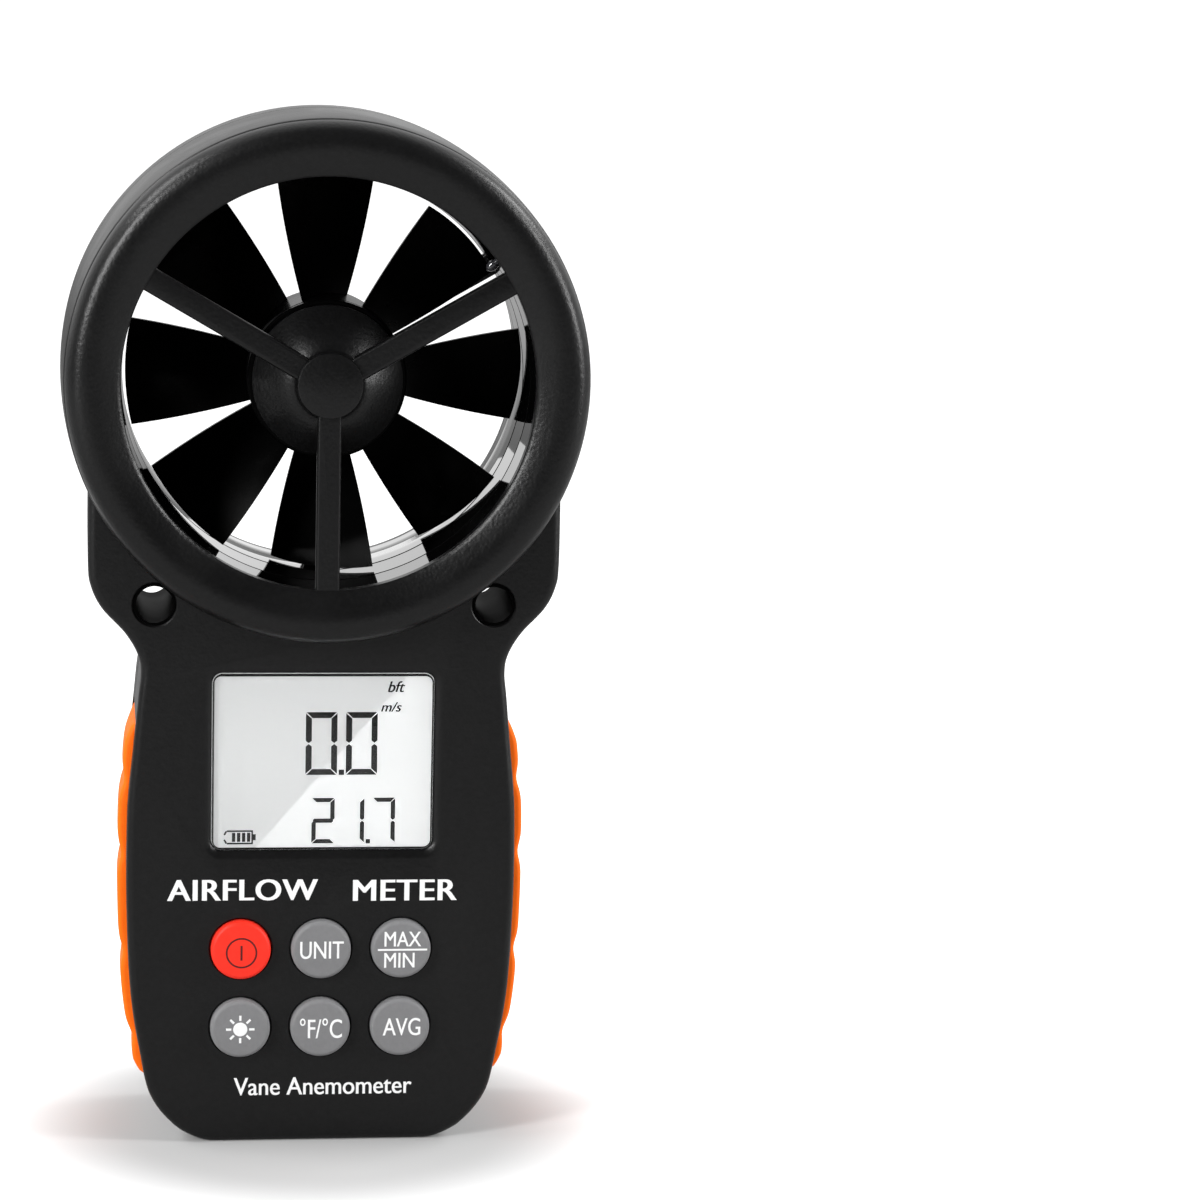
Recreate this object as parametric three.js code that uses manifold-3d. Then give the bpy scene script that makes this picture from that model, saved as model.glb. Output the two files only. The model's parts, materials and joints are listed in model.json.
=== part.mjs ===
// Handheld weather meter: a vane anemometer with a ring-shaped wind duct on top of a gripped handle.
// Millimetres. +Z is up, +X is to the right of the display and the display faces -Y.
// The origin is the middle of the flat base.
import * as THREE from 'three';
import { mergeVertices } from 'three/addons/utils/BufferGeometryUtils.js';
import Module from 'manifold-3d';

const wasm = await Module();
wasm.setup();

// ---- Driving dimensions ------------------------------------------------------------------------
const HEIGHT = 162.6;
const RING_RADIUS = 40.93;
const RING_Z = HEIGHT - RING_RADIUS;
const RING_DEPTH = 38;
const RING_CROWN = 0.75;
const BODY_FRONT = -11.4;
const BODY_BACK = 16;
const SPLIT_Y = 6;
const GAP = 0.3;
const HALF_GAP = GAP / 2;
const WALL = 2;
const SHOULDER_WALL = WALL + 0.4;
// How far a boss or an inner wall runs into the wall that it grows from.
const ROOT = 0.4;
// Further out than any part of the meter reaches.
const FAR = 60;

// Half width of the case against height, from the base to the shoulders beside the ring.
const CASE_HALF_WIDTHS = [
  [15, 0], [18.2, 0.2], [21.6, 1.7], [23.9, 3.7], [25.6, 5.8], [26.8, 8], [27.5, 10.4], [28.1, 13.6],
  [29.4, 21.1], [30.1, 28.6], [30.5, 40], [30.5, 49], [30.3, 55.6], [29.5, 64], [28.8, 71.6], [28.4, 75.6],
  [28.9, 78.6], [30.9, 82], [34.4, 85.8], [36.1, 89.2], [36.6, 93], [36.6, 104.6],
];
const CASE_FRONT_ROUND = 4.2;
const CASE_BACK_ROUND = 4;
const HANDLE_INSET = 3.6;
const HANDLE_TOP = 67.6;
const SHOULDER_BOTTOM = 77.6;
const HOLLOW_TOP = 102;
const HOLLOW_STEP = 4;

// Wind duct, guards and rotor.
const DUCT_RADIUS = 31.74;
const DUCT_WALL = 1.7;
const RING_WALL = 2.2;
const SHELL_RING_HALF = 14.9;
const GUARD_LIP_Y = 17.4;
const STRUT_ANGLES = [30, 150, 270];
const STRUT_WIDTH = 3.7;
const STRUT_FRONT = -17.3;
const STRUT_BACK = -14.2;
const GUARD_FLOOR = -15.5;
const BOSS_RADIUS = 5.05;
const BOSS_FRONT = -18.2;
const BELL_RADIUS = 11.6;
const BELL_BACK = -10;
const RIB_COUNT = 6;
const PROBE_ANGLE = 36;
const PROBE_Y = -12.2;
const PROBE_RADIUS = 0.8;
const BLADE_COUNT = 8;
const BLADE_TIP_RADIUS = 30.9;
const BLADE_THICKNESS = 1.1;
const BLADE_AXIAL = 10;
const BLADE_ROOT_ANGLE = 36.5;
const BLADE_TIP_ANGLE = 29;
const ROTOR_HUB_RADIUS = 12.3;
const ROTOR_HUB_FRONT = -9.5;
const ROTOR_HUB_BACK = 7;
const SHAFT_RADIUS = 1;
const BEARING_RADIUS = 3;

// Display.
const SCREEN_HALF_WIDTH = 17.3;
const SCREEN_BOTTOM = 47.5;
const SCREEN_TOP = 75.7;
const SCREEN_CORNER = 1.6;
const WINDOW_FRONT = -10.9;
const WINDOW_BACK = -9.7;
const PANEL_HALF_WIDTH = 19.5;
const PANEL_BOTTOM = 46;
const PANEL_TOP = 77.2;
const PANEL_CORNER = 0.6;
const BRACKET_MARGIN = 1.8;
const BOARD_HALF_WIDTH = 24;
const BOARD_BOTTOM = 16.5;
const BOARD_FRONT = -5.8;
const BOARD_BACK = -4.3;

// Keys.
const KEY_RADIUS = 4.7;
const KEY_FRONT = -12.9;
const KEY_COLUMN_PITCH = 12.61;
const KEY_ROWS = [31.64, 18.93];
const KEY_FLANGE_RADIUS = 5.7;
const KEY_FLANGE_FRONT = -9.1;
const KEY_BACK = -8.6;
const MAT_HALF_WIDTH = 18.7;
const MAT_BOTTOM = 11.1;
const MAT_TOP = 39.6;

// Strap holes and case screws.
const STRAP_X = 26.35;
const STRAP_Z = 86.64;
const STRAP_RADIUS = 3;
const STRAP_TUBE_WALL = 1.5;
const SCREW_SITES = [[-32.3, 93], [32.3, 93], [-22, 13], [22, 13]];
const SCREW_HEAD_RADIUS = 2.3;
const SCREW_SHANK_RADIUS = 1.1;
const SCREW_HEAD_Y = 12.9;
const SCREW_BACK = 14.8;
const FRONT_BOSS_RADIUS = 2.9;
const REAR_BOSS_RADIUS = 3.3;

// Battery, its bay and its sliding door.
const BATTERY = { width: 26.5, depth: 17.5, height: 46.4 };
const BATTERY_BOTTOM = 3.6;
const BATTERY_FRONT = -3.9;
const BATTERY_TOP = BATTERY_BOTTOM + BATTERY.height;
const BATTERY_MIDDLE_Y = BATTERY_FRONT + BATTERY.depth / 2;
const BAY_INNER = 13.8;
const BAY_OUTER = 17.6;
const DOOR_HALF_WIDTH = 15.5;
const DOOR_TOP = 56;
const DOOR_THICKNESS = 2.1;
const DOOR_TONGUE = 1.1;
const DOOR_RIBS = 5;

// Tripod socket.
const TRIPOD_Z = 70.6;
const TRIPOD_RADIUS = 4.4;
const TRIPOD_BORE = 3.2;
const TRIPOD_FRONT = 8.6;
const TRIPOD_BACK = 15.7;

// Grips: a soft pad in a shallow recess on each side of the handle, with four finger dents.
const GRIP_BOTTOM = 10.4;
const GRIP_TOP = 67.4;
const GRIP_FRONT = -8.6;
const GRIP_BACK = 12.6;
const GRIP_RECESS = 1.2;
const GRIP_PROUD = 1.45;
const GRIP_DENTS = [58.2, 46.4, 30.6, 16.9];

const COLOURS = {
  case: [0x1d1d1e, 0.62, 0],
  duct: [0x050505, 0.12, 0],
  rotor: [0x060606, 0.25, 0],
  grip: [0xf0641e, 0.7, 0],
  steel: [0xb9bcc0, 0.3, 1],
  brass: [0xc9a24a, 0.32, 1],
  window: [0xe8eef0, 0.05, 0],
  lcd: [0xd6d8d4, 0.3, 0],
  white: [0xf2f2f0, 0.5, 0],
  board: [0x1f6b3a, 0.5, 0],
  rubber: [0x2b2b2c, 0.85, 0],
  key: [0x8b8b8d, 0.65, 0],
  powerKey: [0xf23b22, 0.6, 0],
  battery: [0x2a2d33, 0.4, 0],
};

// Facets round the ring, the duct and the small round parts.
const RING_SIDES = 52;
const HUB_SIDES = 32;
const SMALL_SIDES = 16;
const SCREW_SIDES = 12;

// ---- Solids ------------------------------------------------------------------------------------
function signedVolume(position, index) {
  const a = new THREE.Vector3();
  const b = new THREE.Vector3();
  const c = new THREE.Vector3();
  let volume = 0;
  for (let i = 0; i < index.length; i += 3) {
    a.fromBufferAttribute(position, index[i]);
    b.fromBufferAttribute(position, index[i + 1]);
    c.fromBufferAttribute(position, index[i + 2]);
    volume += a.dot(b.cross(c)) / 6;
  }
  return volume;
}

// Turns a closed geometry into a manifold solid whose faces point outwards.
function solid(geometry) {
  geometry.deleteAttribute('normal');
  geometry.deleteAttribute('uv');
  const merged = mergeVertices(geometry, 1e-4);
  const kept = [];
  const corners = merged.index.array;
  for (let i = 0; i < corners.length; i += 3) {
    const [a, b, c] = [corners[i], corners[i + 1], corners[i + 2]];
    if (a !== b && b !== c && c !== a) kept.push(a, b, c);
  }
  const position = merged.getAttribute('position');
  if (signedVolume(position, kept) < 0) kept.reverse();
  return new wasm.Manifold(new wasm.Mesh({
    numProp: 3,
    vertProperties: new Float32Array(position.array),
    triVerts: new Uint32Array(kept),
  }));
}

function union(...solids) {
  return solids.reduce((whole, piece) => whole.add(piece));
}

function cut(base, ...tools) {
  return tools.reduce((whole, tool) => whole.subtract(tool), base);
}

function box(x0, x1, y0, y1, z0, z1) {
  const geometry = new THREE.BoxGeometry(x1 - x0, y1 - y0, z1 - z0);
  geometry.translate((x0 + x1) / 2, (y0 + y1) / 2, (z0 + z1) / 2);
  return solid(geometry);
}

// A cylinder along Y.
function barrel(x, z, radius, y0, y1, sides = SMALL_SIDES) {
  const geometry = new THREE.CylinderGeometry(radius, radius, y1 - y0, sides);
  geometry.translate(x, (y0 + y1) / 2, z);
  return solid(geometry);
}

// A profile of [radius, y] points turned about the wind axis.
function turned(profile, sides = HUB_SIDES, x = 0, z = RING_Z) {
  const points = profile.map(([radius, y]) => new THREE.Vector2(radius, y));
  const geometry = new THREE.LatheGeometry(points, sides);
  geometry.translate(x, 0, z);
  return solid(geometry);
}

// A front-view shape, in X and Z, made solid from y0 back to y1 with rounded front and back edges.
function slab(shape, y0, y1, round = 0, segments = 2) {
  const geometry = new THREE.ExtrudeGeometry(shape, {
    depth: y1 - y0 - 2 * round,
    bevelEnabled: round > 0,
    bevelThickness: round,
    bevelSize: round,
    bevelOffset: -round,
    bevelSegments: segments,
    curveSegments: 3,
    steps: 1,
  });
  geometry.rotateX(Math.PI / 2);
  geometry.translate(0, y1 - round, 0);
  return solid(geometry);
}

function roundedRectangle(halfWidth, z0, z1, corner) {
  const shape = new THREE.Shape();
  shape.moveTo(-halfWidth + corner, z0);
  shape.lineTo(halfWidth - corner, z0);
  shape.absarc(halfWidth - corner, z0 + corner, corner, -Math.PI / 2, 0, false);
  shape.absarc(halfWidth - corner, z1 - corner, corner, 0, Math.PI / 2, false);
  shape.absarc(-halfWidth + corner, z1 - corner, corner, Math.PI / 2, Math.PI, false);
  shape.absarc(-halfWidth + corner, z0 + corner, corner, Math.PI, 1.5 * Math.PI, false);
  return shape;
}

// ---- Case outline ------------------------------------------------------------------------------
const caseSide = new THREE.SplineCurve(CASE_HALF_WIDTHS.map(([x, z]) => new THREE.Vector2(x, z)));
const caseSidePoints = caseSide.getPoints(2 * (CASE_HALF_WIDTHS.length - 1));

function caseHalfWidth(z) {
  const upper = caseSidePoints.findIndex((point) => point.y >= z);
  if (upper <= 0) return caseSidePoints[0].x;
  const low = caseSidePoints[upper - 1];
  const high = caseSidePoints[upper];
  return THREE.MathUtils.mapLinear(z, low.y, high.y, low.x, high.x);
}

function outline(rightSide) {
  const leftSide = rightSide.map((point) => new THREE.Vector2(-point.x, point.y)).reverse();
  return new THREE.Shape([...rightSide, ...leftSide]);
}

function hollowOutline() {
  const inset = (z) => THREE.MathUtils.mapLinear(
    THREE.MathUtils.clamp(z, HANDLE_TOP, SHOULDER_BOTTOM), HANDLE_TOP, SHOULDER_BOTTOM, HANDLE_INSET, SHOULDER_WALL);
  const right = [];
  for (let z = WALL + 1; z < HOLLOW_TOP; z += HOLLOW_STEP) {
    right.push(new THREE.Vector2(caseHalfWidth(z) - inset(z), z));
  }
  return outline(right);
}

// ---- Case --------------------------------------------------------------------------------------
const ringKeep = barrel(0, RING_Z, RING_RADIUS - 0.05, -FAR, FAR, RING_SIDES);
const ringBore = barrel(0, RING_Z, RING_RADIUS - RING_WALL, -FAR, FAR, RING_SIDES);

// The ring's wall between two depths. Its outside swells a little towards the seam.
function ringWall(y0, y1) {
  const outer = (y) => RING_RADIUS - RING_CROWN * ((y - SPLIT_Y) / (RING_DEPTH / 2 + SPLIT_Y)) ** 2;
  const inner = RING_RADIUS - RING_WALL - 1;
  const middle = (y0 + y1) / 2;
  return turned([
    [inner, y0], [outer(y0), y0], [outer(middle), middle], [outer(y1), y1], [inner, y1], [inner, y0],
  ], RING_SIDES);
}

function caseHull() {
  const front = slab(outline(caseSidePoints), BODY_FRONT, SPLIT_Y + 8, CASE_FRONT_ROUND);
  const back = slab(outline(caseSidePoints), BODY_FRONT + 8, BODY_BACK, CASE_BACK_ROUND);
  return union(front, back);
}

const hull = caseHull();
const hollow = cut(slab(hollowOutline(), BODY_FRONT + WALL, BODY_BACK - WALL), ringKeep);
const strapSites = [[-STRAP_X, STRAP_Z], [STRAP_X, STRAP_Z]];
const keySites = [];
for (const z of KEY_ROWS) {
  for (const column of [-1, 0, 1]) keySites.push([column * KEY_COLUMN_PITCH, z]);
}

// The outline of one side grip: outer edge with finger dents, inner edge along the recess floor.
function gripShape(side, clearance) {
  const low = GRIP_BOTTOM - clearance;
  const high = GRIP_TOP + clearance;
  const steps = 28;
  const outer = [];
  const inner = [];
  for (let i = 0; i <= steps; i += 1) {
    const z = THREE.MathUtils.lerp(low, high, i / steps);
    const endFade = Math.min(1, (z - low) / 2.2, (high - z) / 2.2);
    const dent = GRIP_DENTS.reduce((sum, centre) => sum + 0.5 * Math.exp(-(((z - centre) / 2.3) ** 2)), 0);
    const proud = clearance > 0 ? 4 : Math.sqrt(Math.max(0, endFade)) * (GRIP_PROUD - dent);
    outer.push(new THREE.Vector2(side * (caseHalfWidth(z) + proud), z));
  }
  for (let i = 0; i <= 8; i += 1) {
    const z = THREE.MathUtils.lerp(low, high, i / 8);
    inner.push(new THREE.Vector2(side * (caseHalfWidth(z) - GRIP_RECESS - clearance), z));
  }
  return new THREE.Shape([...outer, ...inner.reverse()]);
}

function gripPocket(side) {
  return slab(gripShape(side, GAP), GRIP_FRONT - GAP, GRIP_BACK + GAP);
}

function strapTubes(y0, y1) {
  return strapSites.map(([x, z]) => barrel(x, z, STRAP_RADIUS + STRAP_TUBE_WALL, y0, y1));
}

function strapBores() {
  return strapSites.map(([x, z]) => barrel(x, z, STRAP_RADIUS, -FAR, FAR));
}

// Everything on one side of the case's seam, as a clipping block.
function clipBlock(y0, y1) {
  return box(-FAR, FAR, y0, y1, -1, HEIGHT + 1);
}

function screwBarrels(radius, y0, y1, sides = SMALL_SIDES) {
  return SCREW_SITES.map(([x, z]) => barrel(x, z, radius, y0, y1, sides));
}

function frontShell() {
  const seam = SPLIT_Y - HALF_GAP;
  const back = seam + 1;
  const inner = BODY_FRONT + WALL;
  const shell = cut(union(hull, ringWall(-SHELL_RING_HALF, back)), ringBore, hollow);
  const keyHoles = keySites.map(([x, z]) => barrel(x, z, KEY_RADIUS + GAP, -FAR, inner + ROOT));
  const window = roundedRectangle(SCREEN_HALF_WIDTH + GAP, SCREEN_BOTTOM - GAP, SCREEN_TOP + GAP, SCREEN_CORNER);
  const leadHole = box(-3, 3, -2, 3, RING_Z - RING_RADIUS - 2, RING_Z - RING_RADIUS + 4);
  return cut(
    union(shell, ...screwBarrels(FRONT_BOSS_RADIUS, inner - ROOT, back), ...strapTubes(inner - ROOT, back)),
    ...screwBarrels(SCREW_SHANK_RADIUS + GAP, inner + 1.5, back, SCREW_SIDES),
    ...keyHoles, ...strapBores(), leadHole, slab(window, -FAR, inner + ROOT), gripPocket(-1), gripPocket(1),
  ).intersect(clipBlock(-FAR, seam));
}

// The door's plate and, lower down, the tongues on its sides that run in the case's grooves.
function doorSlot(clearance) {
  const half = DOOR_HALF_WIDTH + clearance;
  const face = BODY_BACK - DOOR_THICKNESS;
  const plate = box(-half, half, face - clearance, BODY_BACK + 1, -1, DOOR_TOP + clearance);
  const tongues = box(
    -half - DOOR_TONGUE, half + DOOR_TONGUE, face - clearance, face + 1 + clearance, -1, DOOR_TOP - 4 + clearance);
  return [plate, tongues];
}

function batteryBay(front, inner) {
  const railBack = BODY_BACK - DOOR_THICKNESS - GAP;
  const wall = (side) => box(
    Math.min(side * BAY_INNER, side * BAY_OUTER), Math.max(side * BAY_INNER, side * BAY_OUTER),
    front, railBack, WALL, DOOR_TOP + 3);
  const roof = box(-BAY_OUTER, BAY_OUTER, front, inner, DOOR_TOP + 1, DOOR_TOP + 3);
  const floor = box(-BAY_OUTER, BAY_OUTER, front, railBack, WALL - 1, BATTERY_BOTTOM - 0.8);
  return [wall(-1), wall(1), roof, floor];
}

function rearShell() {
  const seam = SPLIT_Y + HALF_GAP;
  const front = seam - 1;
  const inner = BODY_BACK - WALL + ROOT;
  const shell = cut(union(hull, ringWall(front, SHELL_RING_HALF)), ringBore, hollow);
  const socketBoss = barrel(0, TRIPOD_Z, TRIPOD_RADIUS + 2.4, front, inner);
  const lowerEdge = DOOR_HALF_WIDTH + GAP + DOOR_TONGUE;
  return cut(
    union(shell, ...screwBarrels(REAR_BOSS_RADIUS, front, inner), ...strapTubes(front, inner),
      ...batteryBay(front, inner), socketBoss),
    ...screwBarrels(SCREW_SHANK_RADIUS + GAP, front, FAR, SCREW_SIDES),
    ...screwBarrels(SCREW_HEAD_RADIUS + GAP, SCREW_HEAD_Y - GAP, FAR, SCREW_SIDES),
    ...strapBores(), barrel(0, TRIPOD_Z, TRIPOD_RADIUS + GAP, TRIPOD_FRONT - 2 * GAP, FAR),
    box(-lowerEdge, lowerEdge, BODY_BACK - DOOR_THICKNESS - 2 * GAP, FAR, -1, 0.5),
    barrel(0, RING_Z, RING_RADIUS - 0.4, SHELL_RING_HALF, FAR, RING_SIDES),
    ...doorSlot(GAP), gripPocket(-1), gripPocket(1),
  ).intersect(clipBlock(seam, FAR));
}

function batteryDoor() {
  const [plate, tongues] = doorSlot(0);
  const blank = hull.intersect(box(-FAR, FAR, BODY_BACK - DOOR_THICKNESS, BODY_BACK + 1, 0.2, DOOR_TOP));
  const ribs = Array.from({ length: DOOR_RIBS }, (_, i) => (
    box(-6, 6, BODY_BACK - 0.5, BODY_BACK + 1, 42 + 2.2 * i, 43 + 2.2 * i)));
  return cut(blank.intersect(union(plate, tongues)), ...ribs);
}

function grip(side) {
  return slab(gripShape(side, 0), GRIP_FRONT, GRIP_BACK, 0.5, 1);
}

// ---- Duct and guards ---------------------------------------------------------------------------
function ductSleeve(y0, y1) {
  const outer = DUCT_RADIUS + DUCT_WALL;
  const tube = turned([[DUCT_RADIUS, y0], [outer, y0], [outer, y1], [DUCT_RADIUS, y1], [DUCT_RADIUS, y0]], RING_SIDES);
  const ribLength = RING_RADIUS - RING_WALL - GAP - outer;
  const ribs = [];
  for (let i = 0; i < RIB_COUNT; i += 1) {
    const geometry = new THREE.BoxGeometry(ribLength + 0.6, y1 - y0 - 5.6, 1.4);
    geometry.translate(outer + ribLength / 2 - 0.3, (y0 + y1) / 2, 0);
    geometry.rotateY(THREE.MathUtils.degToRad((360 / RIB_COUNT) * i));
    geometry.translate(0, 0, RING_Z);
    ribs.push(solid(geometry));
  }
  return union(tube, ...ribs);
}

// One spoke from the hub to the bezel, at an angle measured from +X towards +Z.
function strut(angle, r0, r1, y0, y1) {
  const shape = new THREE.Shape();
  const half = STRUT_WIDTH / 2;
  shape.moveTo(r0, -half);
  shape.lineTo(r1, -half);
  shape.lineTo(r1, half);
  shape.lineTo(r0, half);
  const geometry = new THREE.ExtrudeGeometry(shape, { depth: y1 - y0, bevelEnabled: false });
  geometry.rotateX(Math.PI / 2);
  geometry.translate(0, y1, 0);
  geometry.rotateY(-THREE.MathUtils.degToRad(angle));
  geometry.translate(0, 0, RING_Z);
  return solid(geometry);
}

// The bezel, three struts and bearing hub of one guard, drawn for the front (facing -Y).
function guard() {
  const crown = new THREE.QuadraticBezierCurve(
    new THREE.Vector2(36.6, -19), new THREE.Vector2(39.9, -19), new THREE.Vector2(40.2, -15.2));
  const bezel = turned([
    [DUCT_RADIUS, -GUARD_LIP_Y], [34.4, -18.7], ...crown.getPoints(3).map((point) => [point.x, point.y]),
    [38.4, -15.2], [38.4, -12.8], [36.9, -12.8], [36.9, GUARD_FLOOR], [DUCT_RADIUS, GUARD_FLOOR],
    [DUCT_RADIUS, -GUARD_LIP_Y],
  ], RING_SIDES);
  const hub = turned([
    [0, BOSS_FRONT], [BOSS_RADIUS, BOSS_FRONT], [BOSS_RADIUS + 0.4, BOSS_FRONT + 1.6],
    [BELL_RADIUS, BELL_BACK - 0.9], [BELL_RADIUS, BELL_BACK], [0, BELL_BACK],
  ]);
  const struts = STRUT_ANGLES.flatMap((angle) => [
    strut(angle, 4, DUCT_RADIUS + 1, STRUT_FRONT, GUARD_FLOOR),
    strut(angle, 4, DUCT_RADIUS - GAP, GUARD_FLOOR - 0.2, STRUT_BACK),
  ]);
  const pocket = barrel(0, RING_Z, BEARING_RADIUS + GAP, GUARD_FLOOR, BELL_BACK + 1);
  return cut(union(bezel, hub, ...struts), pocket);
}

function bearing(side) {
  const cup = barrel(0, RING_Z, BEARING_RADIUS, 10.6, 15.2);
  const bore = barrel(0, RING_Z, SHAFT_RADIUS + 0.25, 10, 14.4);
  const whole = cut(cup, bore);
  return side < 0 ? whole.mirror([0, 1, 0]) : whole;
}

// ---- Rotor -------------------------------------------------------------------------------------
// A blade is a thin box wrapped onto a helix: its angle about the axis grows with its depth along Y.
function blade(angle) {
  const root = ROTOR_HUB_RADIUS - 0.8;
  const geometry = new THREE.BoxGeometry(1, BLADE_THICKNESS, 1, 3, 1, 4);
  const position = geometry.getAttribute('position');
  for (let i = 0; i < position.count; i += 1) {
    const along = position.getX(i) + 0.5;
    const chord = position.getZ(i);
    const radius = THREE.MathUtils.lerp(root, BLADE_TIP_RADIUS, along);
    const width = THREE.MathUtils.lerp(BLADE_ROOT_ANGLE, BLADE_TIP_ANGLE, along);
    const turn = THREE.MathUtils.degToRad(angle + chord * width);
    const depth = position.getY(i) - chord * BLADE_AXIAL;
    position.setXYZ(i, radius * Math.cos(turn), depth, radius * Math.sin(turn));
  }
  geometry.translate(0, 0, RING_Z);
  return solid(geometry);
}

function impeller() {
  const bore = SHAFT_RADIUS + GAP;
  const rim = ROTOR_HUB_RADIUS;
  const hub = turned([
    [bore, -8.7], [4, -8.7], [4, -7.2], [10.6, -7.2], [10.6, ROTOR_HUB_FRONT], [rim, ROTOR_HUB_FRONT],
    [rim, ROTOR_HUB_BACK], [10.6, ROTOR_HUB_BACK], [10.6, -5.2], [4, -5.2], [4, 2], [bore, 2], [bore, -8.7],
  ]);
  const blades = [];
  for (let i = 0; i < BLADE_COUNT; i += 1) blades.push(blade((360 / BLADE_COUNT) * i));
  const core = barrel(0, RING_Z, 11.2, -30, 30, HUB_SIDES);
  return union(hub, cut(union(...blades), core));
}

function rotorMagnet() {
  return turned([[5, 1.4], [9.6, 1.4], [9.6, 5.4], [5, 5.4], [5, 1.4]], SMALL_SIDES);
}

function rotorShaft() {
  const tip = 14.1;
  return turned([[0, -tip], [0.5, -tip], [SHAFT_RADIUS, -tip + 0.8], [SHAFT_RADIUS, tip - 0.8], [0.5, tip], [0, tip]], 12);
}

function speedSensor() {
  return turned([[3.7, 8.3], [9.4, 8.3], [9.4, 9.6], [3.7, 9.6], [3.7, 8.3]], SMALL_SIDES);
}

// ---- Display, keys and board -------------------------------------------------------------------
function key(x, z) {
  const profile = [
    [0, KEY_FRONT], [KEY_RADIUS - 0.4, KEY_FRONT], [KEY_RADIUS, KEY_FRONT + 0.4],
    [KEY_RADIUS, KEY_FLANGE_FRONT], [KEY_FLANGE_RADIUS, KEY_FLANGE_FRONT], [KEY_FLANGE_RADIUS, KEY_BACK], [0, KEY_BACK],
  ];
  return turned(profile, SMALL_SIDES, x, z);
}

function keypadMat() {
  const sheet = slab(roundedRectangle(MAT_HALF_WIDTH, MAT_BOTTOM, MAT_TOP, 2), -7.6, -6.6);
  const domes = keySites.map(([x, z]) => turned([[0, -6.7], [3.4, -6.7], [2.6, -6.1], [0, -6.1]], 12, x, z));
  return union(sheet, ...domes);
}

function panelShape(margin, corner) {
  return roundedRectangle(PANEL_HALF_WIDTH + margin, PANEL_BOTTOM - margin, PANEL_TOP + margin, corner);
}

function lcdBracket() {
  return cut(slab(panelShape(BRACKET_MARGIN, 1.5), -9.1, -6.1), slab(panelShape(0.4, 0.8), -FAR, FAR));
}

function mainBoard() {
  const shape = roundedRectangle(BOARD_HALF_WIDTH, BOARD_BOTTOM, PANEL_TOP + BRACKET_MARGIN, 2);
  const plate = slab(shape, BOARD_FRONT, BOARD_BACK);
  const processor = box(-6, 6, BOARD_BACK - 0.1, BOARD_BACK + 1.3, 55.6, 67.6);
  const crystal = box(10, 16, BOARD_BACK - 0.1, BOARD_BACK + 2.1, 57.6, 60.6);
  const screwNotches = SCREW_SITES.map(([x, z]) => barrel(x, z, FRONT_BOSS_RADIUS + 0.5, -FAR, FAR));
  return cut(union(plate, processor, crystal), ...screwNotches);
}

// ---- Battery, fasteners and small parts --------------------------------------------------------
function battery() {
  const can = slab(
    roundedRectangle(BATTERY.width / 2, BATTERY_BOTTOM, BATTERY_TOP, 0.8), BATTERY_FRONT, BATTERY_FRONT + BATTERY.depth);
  const post = (x, radius) => {
    const geometry = new THREE.CylinderGeometry(radius, radius, 2.2, SMALL_SIDES);
    geometry.rotateX(Math.PI / 2);
    geometry.translate(x, BATTERY_MIDDLE_Y, BATTERY_TOP + 0.9);
    return solid(geometry);
  };
  return union(can, post(-6.35, 2.9), post(6.35, 3.8));
}

function batterySnap() {
  return box(-12.5, 12.5, BATTERY_MIDDLE_Y - 6, BATTERY_MIDDLE_Y + 6, BATTERY_TOP + 2.3, BATTERY_TOP + 4.5);
}

function batteryPad() {
  return box(
    -11, 11, BATTERY_FRONT + 1, BATTERY_FRONT + BATTERY.depth - 1, BATTERY_BOTTOM - 0.5, BATTERY_BOTTOM - GAP);
}

function tripodInsert() {
  return turned([
    [TRIPOD_BORE, TRIPOD_FRONT], [TRIPOD_RADIUS, TRIPOD_FRONT], [TRIPOD_RADIUS, TRIPOD_BACK],
    [TRIPOD_BORE, TRIPOD_BACK], [TRIPOD_BORE, TRIPOD_FRONT],
  ], SMALL_SIDES, 0, TRIPOD_Z);
}

function screw(x, z) {
  const body = turned([
    [0, -5.5], [0.5, -5.5], [SCREW_SHANK_RADIUS, -4.4], [SCREW_SHANK_RADIUS, SCREW_HEAD_Y],
    [SCREW_HEAD_RADIUS, SCREW_HEAD_Y], [SCREW_HEAD_RADIUS, SCREW_BACK - 0.8], [1.6, SCREW_BACK], [0, SCREW_BACK],
  ], SCREW_SIDES, x, z);
  const slot = (halfX, halfZ) => box(x - halfX, x + halfX, SCREW_BACK - 0.8, FAR, z - halfZ, z + halfZ);
  return cut(body, slot(1.3, 0.3), slot(0.3, 1.3));
}

// A rod that points at the wind axis from the duct's wall beside the right strut.
function probeRod(radius, length, middle) {
  const geometry = new THREE.CylinderGeometry(radius, radius, length, SCREW_SIDES);
  geometry.rotateZ(Math.PI / 2);
  geometry.translate(middle, 0, 0);
  geometry.rotateY(-THREE.MathUtils.degToRad(PROBE_ANGLE));
  geometry.translate(0, PROBE_Y, RING_Z);
  return solid(geometry);
}

function thermistor() {
  return probeRod(PROBE_RADIUS, 6.5, 33);
}

// ---- Assembly ----------------------------------------------------------------------------------
const meter = new THREE.Group();

function add(name, piece, finish) {
  const data = piece.getMesh();
  const geometry = new THREE.BufferGeometry();
  geometry.setAttribute('position', new THREE.BufferAttribute(new Float32Array(data.vertProperties), 3));
  geometry.setIndex(new THREE.BufferAttribute(new Uint32Array(data.triVerts), 1));
  geometry.computeVertexNormals();
  const [color, roughness, metalness] = COLOURS[finish];
  const mesh = new THREE.Mesh(geometry, new THREE.MeshStandardMaterial({ color, roughness, metalness }));
  mesh.name = name;
  meter.add(mesh);
}

add('front_shell', frontShell(), 'case');
add('rear_shell', rearShell(), 'case');
add('left_grip', grip(-1), 'grip');
add('right_grip', grip(1), 'grip');
add('battery_door', batteryDoor(), 'case');

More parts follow.
